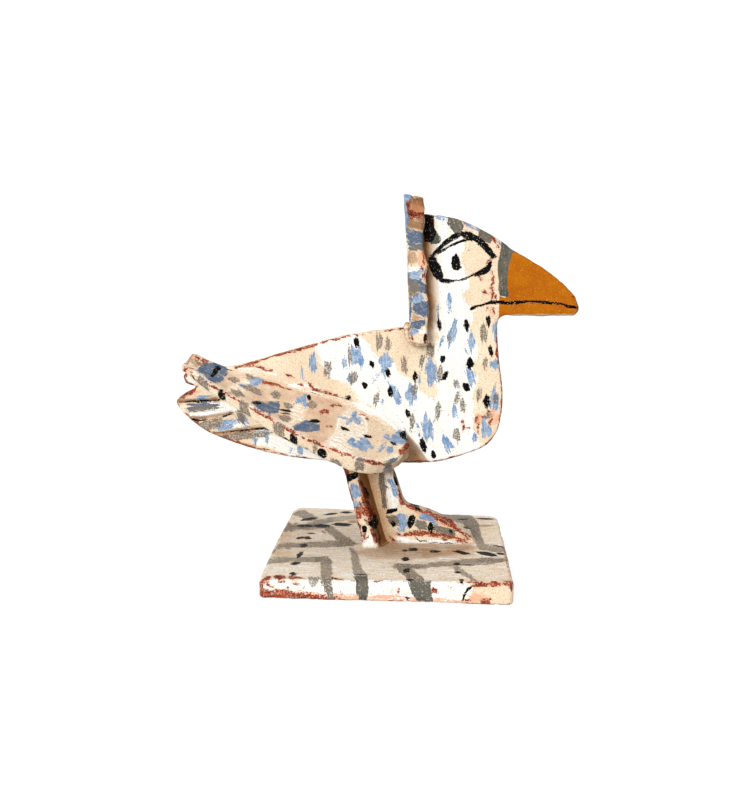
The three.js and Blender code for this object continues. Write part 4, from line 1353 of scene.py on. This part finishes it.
class CLAYBIRD_OT_base(bpy.types.Operator):
    """Work and paint the square base slab"""

    bl_idname = "clay_bird.make_base"
    bl_label = "Base slab"

    def execute(self, context):
        sizes, _, _ = settings()
        chance = random.Random(SEED)
        piece = slab_copy("base_slab", "base")
        edge, hollow = work_clay(piece, sizes.base_grain, soften=1, crisp=0.6)
        points = points_of(piece)
        # Underside flat, but for its worn edges
        points[(points[:, 2] < 0.9) & (edge < 0.3), 2] = 0
        points[:, 2] = np.maximum(points[:, 2], 0)
        # Sides that lean out towards the back; front and back edges drawn out
        back = np.clip((points[:, 1] + 66) / 60, 0, 1)
        side = np.clip((np.abs(points[:, 0]) - 30) / 36, 0, 1)
        left, right = -0.5 - 1.4 * back, 0.3 + (0.9 + 0.5 * field(points, size=8, shift=7)) * back
        points[:, 0] += side * np.where(points[:, 0] < 0, left, right)
        points[:, 1] += np.interp(points[:, 1], *zip(*BASE_SWELL))
        move_points(piece, points)

        coat = Coating(piece)
        p, n = coat.points, coat.normals
        # Painted shade in creases and in the corner between the heel strip and the foot
        corner = nearness(p, ("leg_strip",), reach=11), nearness(p, ("foot_slab",), reach=11)
        coat.hollow = np.maximum(hollow, 0.9 * corner[0] * corner[1])
        coat.load[:] = BASE_GREY
        coat.tint(coat.load, BASE_LOAD, n[:, 2] > -0.5)
        top = np.clip((n[:, 2] - 0.4) * 2, 0, 1)
        coat.wash = BASE_TOP_WASH * top
        coat.tint(coat.wash, BASE_WASH, top)
        # Painted shadow on the base's top round the foot
        coat.tint(coat.hollow, BASE_PAINTED_SHADOW, top)
        coat.thin_white(top > 0.6, least=0.1, more=1.3)
        coat.wear(edge, amount=-0.9, patch=22)
        coat.lay_seen(BASE_DABS, BASE_LINES, BASE_PATCHES)
        coat.lay("grey", [coat.line_at(*row) for row in BASE_FAR_BARS])
        behind = (n[:, 2] > 0.8) & (p[:, 1] > 10) & (p[:, 1] < 60) & (np.abs(p[:, 0]) < 30)
        sides = (np.abs(n[:, 2]) < 0.3) & (coat.view(1)[2] < -0.05)
        for chosen, rows in (
            (behind, BASE_TOP_SCATTER), (sides, BASE_SIDE_SCATTER), (sides & (p[:, 2] < 4), BASE_FOOT_SCATTER)):
            coat.scatter(chance, chosen, rows)
        under = p[:, 2] < 0.25
        coat.rows["bare"][under] = np.stack([p[under, 0], p[under, 1], np.full(under.sum(), -4.0)], 1)
        coat.save()
        finish_piece(piece, "base_slab")
        return {"FINISHED"}


class CLAYBIRD_OT_leg(bpy.types.Operator):
    """Work and paint the heel strip and the boot-shaped foot slab"""

    bl_idname = "clay_bird.make_leg"
    bl_label = "Leg strip and foot"

    def execute(self, context):
        sizes, _, _ = settings()
        chance = random.Random(SEED + 1)
        # Wear in mm, then depth of the painted shade on the faces turned to the other solid and how far it reaches
        # in mm
        for node, other, name, amount, depth, reach, strokes in (
            ("leg_strip", "foot_slab", "heel_strip", -0.2, 0.85, 26, (STRIP_DABS, {}, STRIP_PATCHES)),
            ("foot_slab", "leg_strip", "foot", -0.6, 0.7, 14, (FOOT_DABS, FOOT_LINES, FOOT_PATCHES)),
        ):
            piece = slab_copy(node, name)
            points = points_of(piece)
            for chosen, way in (
                (points[:, 2] < base_top(points[:, 0]) + JOINT_ROOM, -1), (points[:, 2] > BELLY - JOINT_ROOM, 1)):
                pick_points(piece, chosen)
                bpy.ops.transform.translate(value=(0, 0, way * sizes.press))
                bpy.ops.object.mode_set(mode="OBJECT")
            edge, hollow = work_clay(piece, sizes.small_grain, soften=5, crisp=0.5)
            points, normals = points_of(piece), normals_of(piece)
            # Clay smeared out at the base and at the belly
            out = normals * (1, 1, 0)
            out = out / np.maximum(np.linalg.norm(out, axis=1), 0.35)[:, None]
            above, below = points[:, 2] - base_top(points[:, 0]), BELLY - points[:, 2]
            lumpy = 0.75 + 0.5 * field(points, size=6, shift=5)
            smear = np.clip(1 - above / 5, 0, 1) ** 2 + 0.7 * np.clip(1 - below / 4, 0, 1) ** 2
            points += out * (smear * lumpy * sizes.flare / MM)[:, None]
            if node == "leg_strip":
                inner = np.clip(1.05 - np.abs(points[:, 1]) / points[:, 1].max(), 0, 1) ** 1.3
                points[:, 0] += np.clip(normals[:, 0], 0, 1) * inner * sizes.fillet / MM
            move_points(piece, points)

            coat = Coating(piece)
            p, n = coat.points, coat.normals
            # Painted shade in creases, where strip and foot face each other, and under the belly
            turned = np.clip(2.4 * n[:, 0] - 0.9, 0, 1) if node == "leg_strip" else 1
            coat.load[:] = LEG_GREY
            coat.hollow = np.maximum.reduce((
                hollow * 0.5, depth * turned * nearness(p, (other,), reach), 0.7 * np.clip(1 - below / 7, 0, 1)))
            ends = (above < 3) | (below < 2)
            coat.wear(np.where(ends, 0, edge), amount)
            made = coat.lay_seen(*strokes)
            if node == "foot_slab":
                coat.lay_mirrored(made, keep=0.8, stray=1.5, chance=chance)
            else:
                heel = (n[:, 0] < -0.5) & ~ends & (coat.view(1)[2] < 0)
                coat.scatter(chance, heel, HEEL_SCATTER)
                coat.scatter(chance, n[:, 1] > 0.5, HEEL_END_SCATTER)
            coat.save()
            finish_piece(piece, node)
        return {"FINISHED"}


class CLAYBIRD_OT_body(bpy.types.Operator):
    """Work and paint the slab of head, neck, body and tail"""

    bl_idname = "clay_bird.make_body"
    bl_label = "Body slab"

    def execute(self, context):
        sizes, _, _ = settings()
        chance = random.Random(SEED + 2)
        piece = slab_copy("body_slab", "body")
        edge, hollow = work_clay(piece, sizes.body_grain, soften=4, crisp=0.3)
        points, normals = points_of(piece), normals_of(piece)
        draw_out(points, BODY_MOVES)
        cut = np.zeros(len(points))
        for (x0, z0), (x1, z1) in TAIL_LINES:
            run = np.array((x1 - x0, z1 - z0))
            flat = points[:, (0, 2)] - (x0, z0)
            share = np.clip(flat @ run / (run @ run), 0, 1)
            gap = np.linalg.norm(flat - share[:, None] * run, axis=1)
            cut = np.maximum(cut, np.exp(-(gap / TAIL_LINE_WIDE) ** 2))
        cut *= np.abs(normals[:, 1]) > 0.5
        points -= normals * (cut * sizes.groove / MM)[:, None]
        move_points(piece, points)

        coat = Coating(piece)
        p = coat.points
        # Painted shade in creases, in the cut tail lines, beside the crest and near the leg, then a painted shadow
        # under the wing's front end
        neck = np.clip((p[:, 2] - CREST_FOOT) / 8, 0.1, 1)
        coat.hollow = np.maximum.reduce((
            hollow * 0.6, cut * 0.4, 0.75 * nearness(p, ("crest_strip",), reach=8) * neck,
            0.7 * nearness(p, ("leg_strip", "foot_slab"), reach=4)))
        for flip in (1, -1):
            coat.tint(coat.hollow, BODY_PAINTED_SHADOW, coat.view(flip)[2] > 0.2, flip, soft=2)
        beak = (p[:, 0] > 55) & (p[:, 2] > 143)
        coat.wear(np.where(beak, edge * 0.3, np.where(cut > 0.02, 0, edge)), amount=-0.3)
        made = coat.lay_seen(BODY_DABS, BODY_LINES, BODY_PATCHES)
        coat.lay_mirrored(made, keep=0.7, stray=4, chance=chance)
        for name, patch in (("tan", CHIN_PATCH), ("ochre", BEAK_PATCH), ("slate", STRIPE_PATCH)):
            coat.lay(name, [coat.patch_seen(*patch, through=True)])
        coat.save()
        finish_piece(piece, "body_slab")
        return {"FINISHED"}


class CLAYBIRD_OT_crest(bpy.types.Operator):
    """Work and paint the crest strip with the soft clay that holds it"""

    bl_idname = "clay_bird.make_crest"
    bl_label = "Crest strip"

    def execute(self, context):
        sizes, _, _ = settings()
        chance = random.Random(SEED + 3)
        piece = slab_copy("crest_strip", "crest")
        pick_points(piece, np.abs(points_of(piece)[:, 1]) < HALF_SLAB + SLOT_ROOM)
        bpy.ops.transform.resize(value=(1, 1 - sizes.press / (HALF_SLAB * MM) / 1.2, 1), center_override=(0, 0, 0))
        bpy.ops.object.mode_set(mode="OBJECT")
        lumps = []
        for (x, y, z), radii in CREST_LUTING:
            for side in (-1, 1):
                bpy.ops.object.select_all(action="DESELECT")
                bpy.ops.mesh.primitive_uv_sphere_add(
                    segments=20, ring_count=12, radius=MM, location=(x * MM, side * y * MM, z * MM),
                    scale=tuple(r * (1 if side < 0 else 0.9) for r in radii))
                bpy.ops.object.transform_apply(location=True, rotation=True, scale=True)
                lumps.append(bpy.context.object)
        select_only(piece)
        for lump in lumps:
            lump.select_set(True)
        bpy.ops.object.join()
        edge, hollow = work_clay(piece, sizes.small_grain, soften=5, crisp=0.4)
        points = points_of(piece)
        # The near front edge waves in and out, held where the strip is widest in each band of height
        level = (points[:, 2] / CREST_BAND).astype(int)
        right = np.full(level.max() + 1, -1e9)
        np.maximum.at(right, level, points[:, 0])
        hold = np.clip(1 - (right[level] - points[:, 0]) / 6, 0, 1) * np.clip(0.5 - points[:, 1] / 8, 0, 1)
        points[:, 0] += hold * np.interp(points[:, 2], *zip(*CREST_WAVE))
        draw_out(points, CREST_MOVES)
        move_points(piece, points)

        coat = Coating(piece)
        p, n = coat.points, coat.normals
        # Painted shade in creases and next to the body, then the crest's own brown stain over the top of its near
        # face
        coat.hollow = np.maximum(hollow * 0.5, 0.6 * nearness(p, ("body_slab",), reach=6))
        coat.tint(coat.hollow, CREST_STAIN, n[:, 1] < -0.5, soft=2)
        coat.wear(edge, amount=-1.2)
        coat.lay_seen(CREST_DABS, {}, CREST_PATCHES)
        rest = ((np.abs(n[:, 0]) > 0.5) | (n[:, 1] > 0.5)) & (p[:, 2] > CREST_FOOT)
        coat.scatter(chance, rest, CREST_SCATTER)
        coat.scatter(chance, (n[:, 0] < -0.7) & (p[:, 2] > 152) & (p[:, 1] > 2), CREST_BACK_SCATTER)
        coat.save()
        finish_piece(piece, "crest_strip")
        return {"FINISHED"}


class CLAYBIRD_OT_wings(bpy.types.Operator):
    """Work and paint the two wings, pressed on to the body"""

    bl_idname = "clay_bird.make_wings"
    bl_label = "Wings"

    def execute(self, context):
        sizes, _, _ = settings()
        chance = random.Random(SEED + 4)
        made = None
        for node, name, side in (("right_wing", "right_wing_slab", -1), ("left_wing", "left_wing_slab", 1)):
            piece = slab_copy(node, name)
            pick_points(piece, np.abs(points_of(piece)[:, 1]) < HALF_SLAB + SLOT_ROOM)
            bpy.ops.transform.resize(
                value=(1, 1 - sizes.root / (HALF_SLAB * MM), 1), center_override=(0, 0, 0))
            bpy.ops.object.mode_set(mode="OBJECT")
            edge, hollow = work_clay(piece, sizes.wing_grain, soften=3, crisp=0.3)
            points = points_of(piece)
            # Front end drawn forwards
            points[:, 0] += 1.2 * np.clip((points[:, 0] + 5) / 14, 0, 1) ** 2
            draw_out(points, WING_MOVES, -side)
            move_points(piece, points)

            coat = Coating(piece)
            n = coat.normals
            top = np.clip((n[:, 2] - 0.3) * 2.5, 0, 1)
            coat.wash = WING_TOP_WASH * top
            coat.tint(coat.wash, WING_WASH, top, -side)
            coat.thin_white(top > 0.6, least=0.25, more=2.5)
            # Painted shade in creases, and a painted shadow under the front end and on its rim
            coat.hollow = hollow * 0.3
            coat.tint(coat.hollow, WING_PAINTED_SHADOW, coat.view(-side)[2] > 0.1, -side)
            coat.wear(np.where(n[:, 2] > 0, edge, edge * 0.6), amount=-1.1)
            if made is None:
                made = coat.lay_seen(WING_DABS, WING_LINES, WING_PATCHES)
            else:
                coat.lay_mirrored(made, keep=0.8, stray=3, chance=chance)
            under = (n[:, 2] < -0.5) & (coat.view(-side)[2] < -0.05)
            coat.scatter(chance, under, WING_UNDER_SCATTER)
            coat.save()
            finish_piece(piece, node)
        return {"FINISHED"}


class CLAYBIRD_OT_stage(bpy.types.Operator):
    """Set the pale floor, the soft light and the camera"""

    bl_idname = "clay_bird.set_stage"
    bl_label = "Stage"

    def execute(self, context):
        _, _, stage = settings()
        scene = context.scene
        scene.view_settings.view_transform = "Standard"

        # Floor swept up behind the bird in one curve
        bpy.ops.object.select_all(action="DESELECT")
        bpy.ops.mesh.primitive_plane_add(size=1, location=(0, -1, 0))
        floor = context.object
        floor.name = "pale_floor"
        floor.scale = (9, 6, 1)
        bpy.ops.object.transform_apply(location=True, rotation=True, scale=True)
        pick_points(floor, points_of(floor)[:, 1] > 0)
        for i in range(SWEEP_STEPS):
            angle = math.radians(90) * (i + 0.5) / SWEEP_STEPS
            bpy.ops.mesh.extrude_region_move(TRANSFORM_OT_translate={
                "value": (0, SWEEP_STRIDE * math.cos(angle), SWEEP_STRIDE * math.sin(angle))})
        bpy.ops.mesh.extrude_region_move(TRANSFORM_OT_translate={"value": (0, 0, WALL_HIGH)})
        bpy.ops.object.mode_set(mode="OBJECT")
        bpy.ops.object.shade_smooth()
        paper = bpy.data.materials.new("matt_white_paper")
        paper.use_nodes = True
        shader = paper.node_tree.nodes["Principled BSDF"]
        shader.inputs["Base Color"].default_value = stage.floor
        shader.inputs["Roughness"].default_value = 0.9
        shader.inputs["Emission Color"].default_value = (1, 1, 1, 1)
        shader.inputs["Emission Strength"].default_value = stage.glow
        floor.data.materials.append(paper)

        world = bpy.data.worlds.new("pale_room")
        world.use_nodes = True
        light = world.node_tree.nodes["Background"]
        light.inputs["Color"].default_value = (1, 1, 1, 1)
        light.inputs["Strength"].default_value = stage.room
        scene.world = world

        # Spread in degrees, and the side that the light comes from
        for name, energy, spread, place in (
            ("key_window", stage.key, 18, (-0.55, -1.5, 0.5)), ("top_window", stage.top, 100, (-0.2, -0.3, 1)),
        ):
            lamp = bpy.data.lights.new(name, "SUN")
            lamp.energy, lamp.angle = energy, math.radians(spread)
            holder = bpy.data.objects.new(name, lamp)
            scene.collection.objects.link(holder)
            holder.location = place
            holder.rotation_euler = (-holder.location).to_track_quat("-Z", "Y").to_euler()

        lens = bpy.data.cameras.new("picture_camera")
        lens.sensor_fit, lens.sensor_height, lens.sensor_width = "AUTO", SENSOR, SENSOR
        lens.lens = FOCAL / max(PICTURE) * SENSOR
        lens.clip_start = 0.01
        camera = bpy.data.objects.new("picture_camera", lens)
        scene.collection.objects.link(camera)
        right, up, ahead = camera_axes()
        turn = Matrix((right, up, -ahead)).transposed().to_4x4()
        camera.matrix_world = Matrix.Translation(Vector(EYE) * MM) @ turn
        scene.camera = camera
        return {"FINISHED"}


class CLAYBIRD_PT_panel(bpy.types.Panel):
    """Steps of the clay bird"""

    bl_idname = "CLAYBIRD_PT_panel"
    bl_label = "Clay Bird"
    bl_space_type = "VIEW_3D"
    bl_region_type = "UI"
    bl_category = "Clay Bird"

    def draw(self, context):
        for step in STEPS:
            self.layout.operator(step.bl_idname)
        for group in settings():
            box = self.layout.box()
            for name in group.__annotations__:
                box.prop(group, name)


GROUPS = (("clay_bird_sizes", ClaySizes), ("clay_bird_colours", SlipColours), ("clay_bird_stage", StageSizes))
STEPS = (
    CLAYBIRD_OT_base, CLAYBIRD_OT_leg, CLAYBIRD_OT_body, CLAYBIRD_OT_crest, CLAYBIRD_OT_wings, CLAYBIRD_OT_stage)


def register():
    for name, group in GROUPS:
        bpy.utils.register_class(group)
        setattr(bpy.types.Scene, name, bpy.props.PointerProperty(type=group))
    for step in STEPS:
        bpy.utils.register_class(step)
    bpy.utils.register_class(CLAYBIRD_PT_panel)


def unregister():
    bpy.utils.unregister_class(CLAYBIRD_PT_panel)
    for step in reversed(STEPS):
        bpy.utils.unregister_class(step)
    for name, group in reversed(GROUPS):
        delattr(bpy.types.Scene, name)
        bpy.utils.unregister_class(group)


def main():
    register()
    bpy.ops.clay_bird.make_base()
    bpy.ops.clay_bird.make_leg()
    bpy.ops.clay_bird.make_body()
    bpy.ops.clay_bird.make_crest()
    bpy.ops.clay_bird.make_wings()
    bpy.ops.clay_bird.set_stage()


if __name__ == "__main__":
    main()
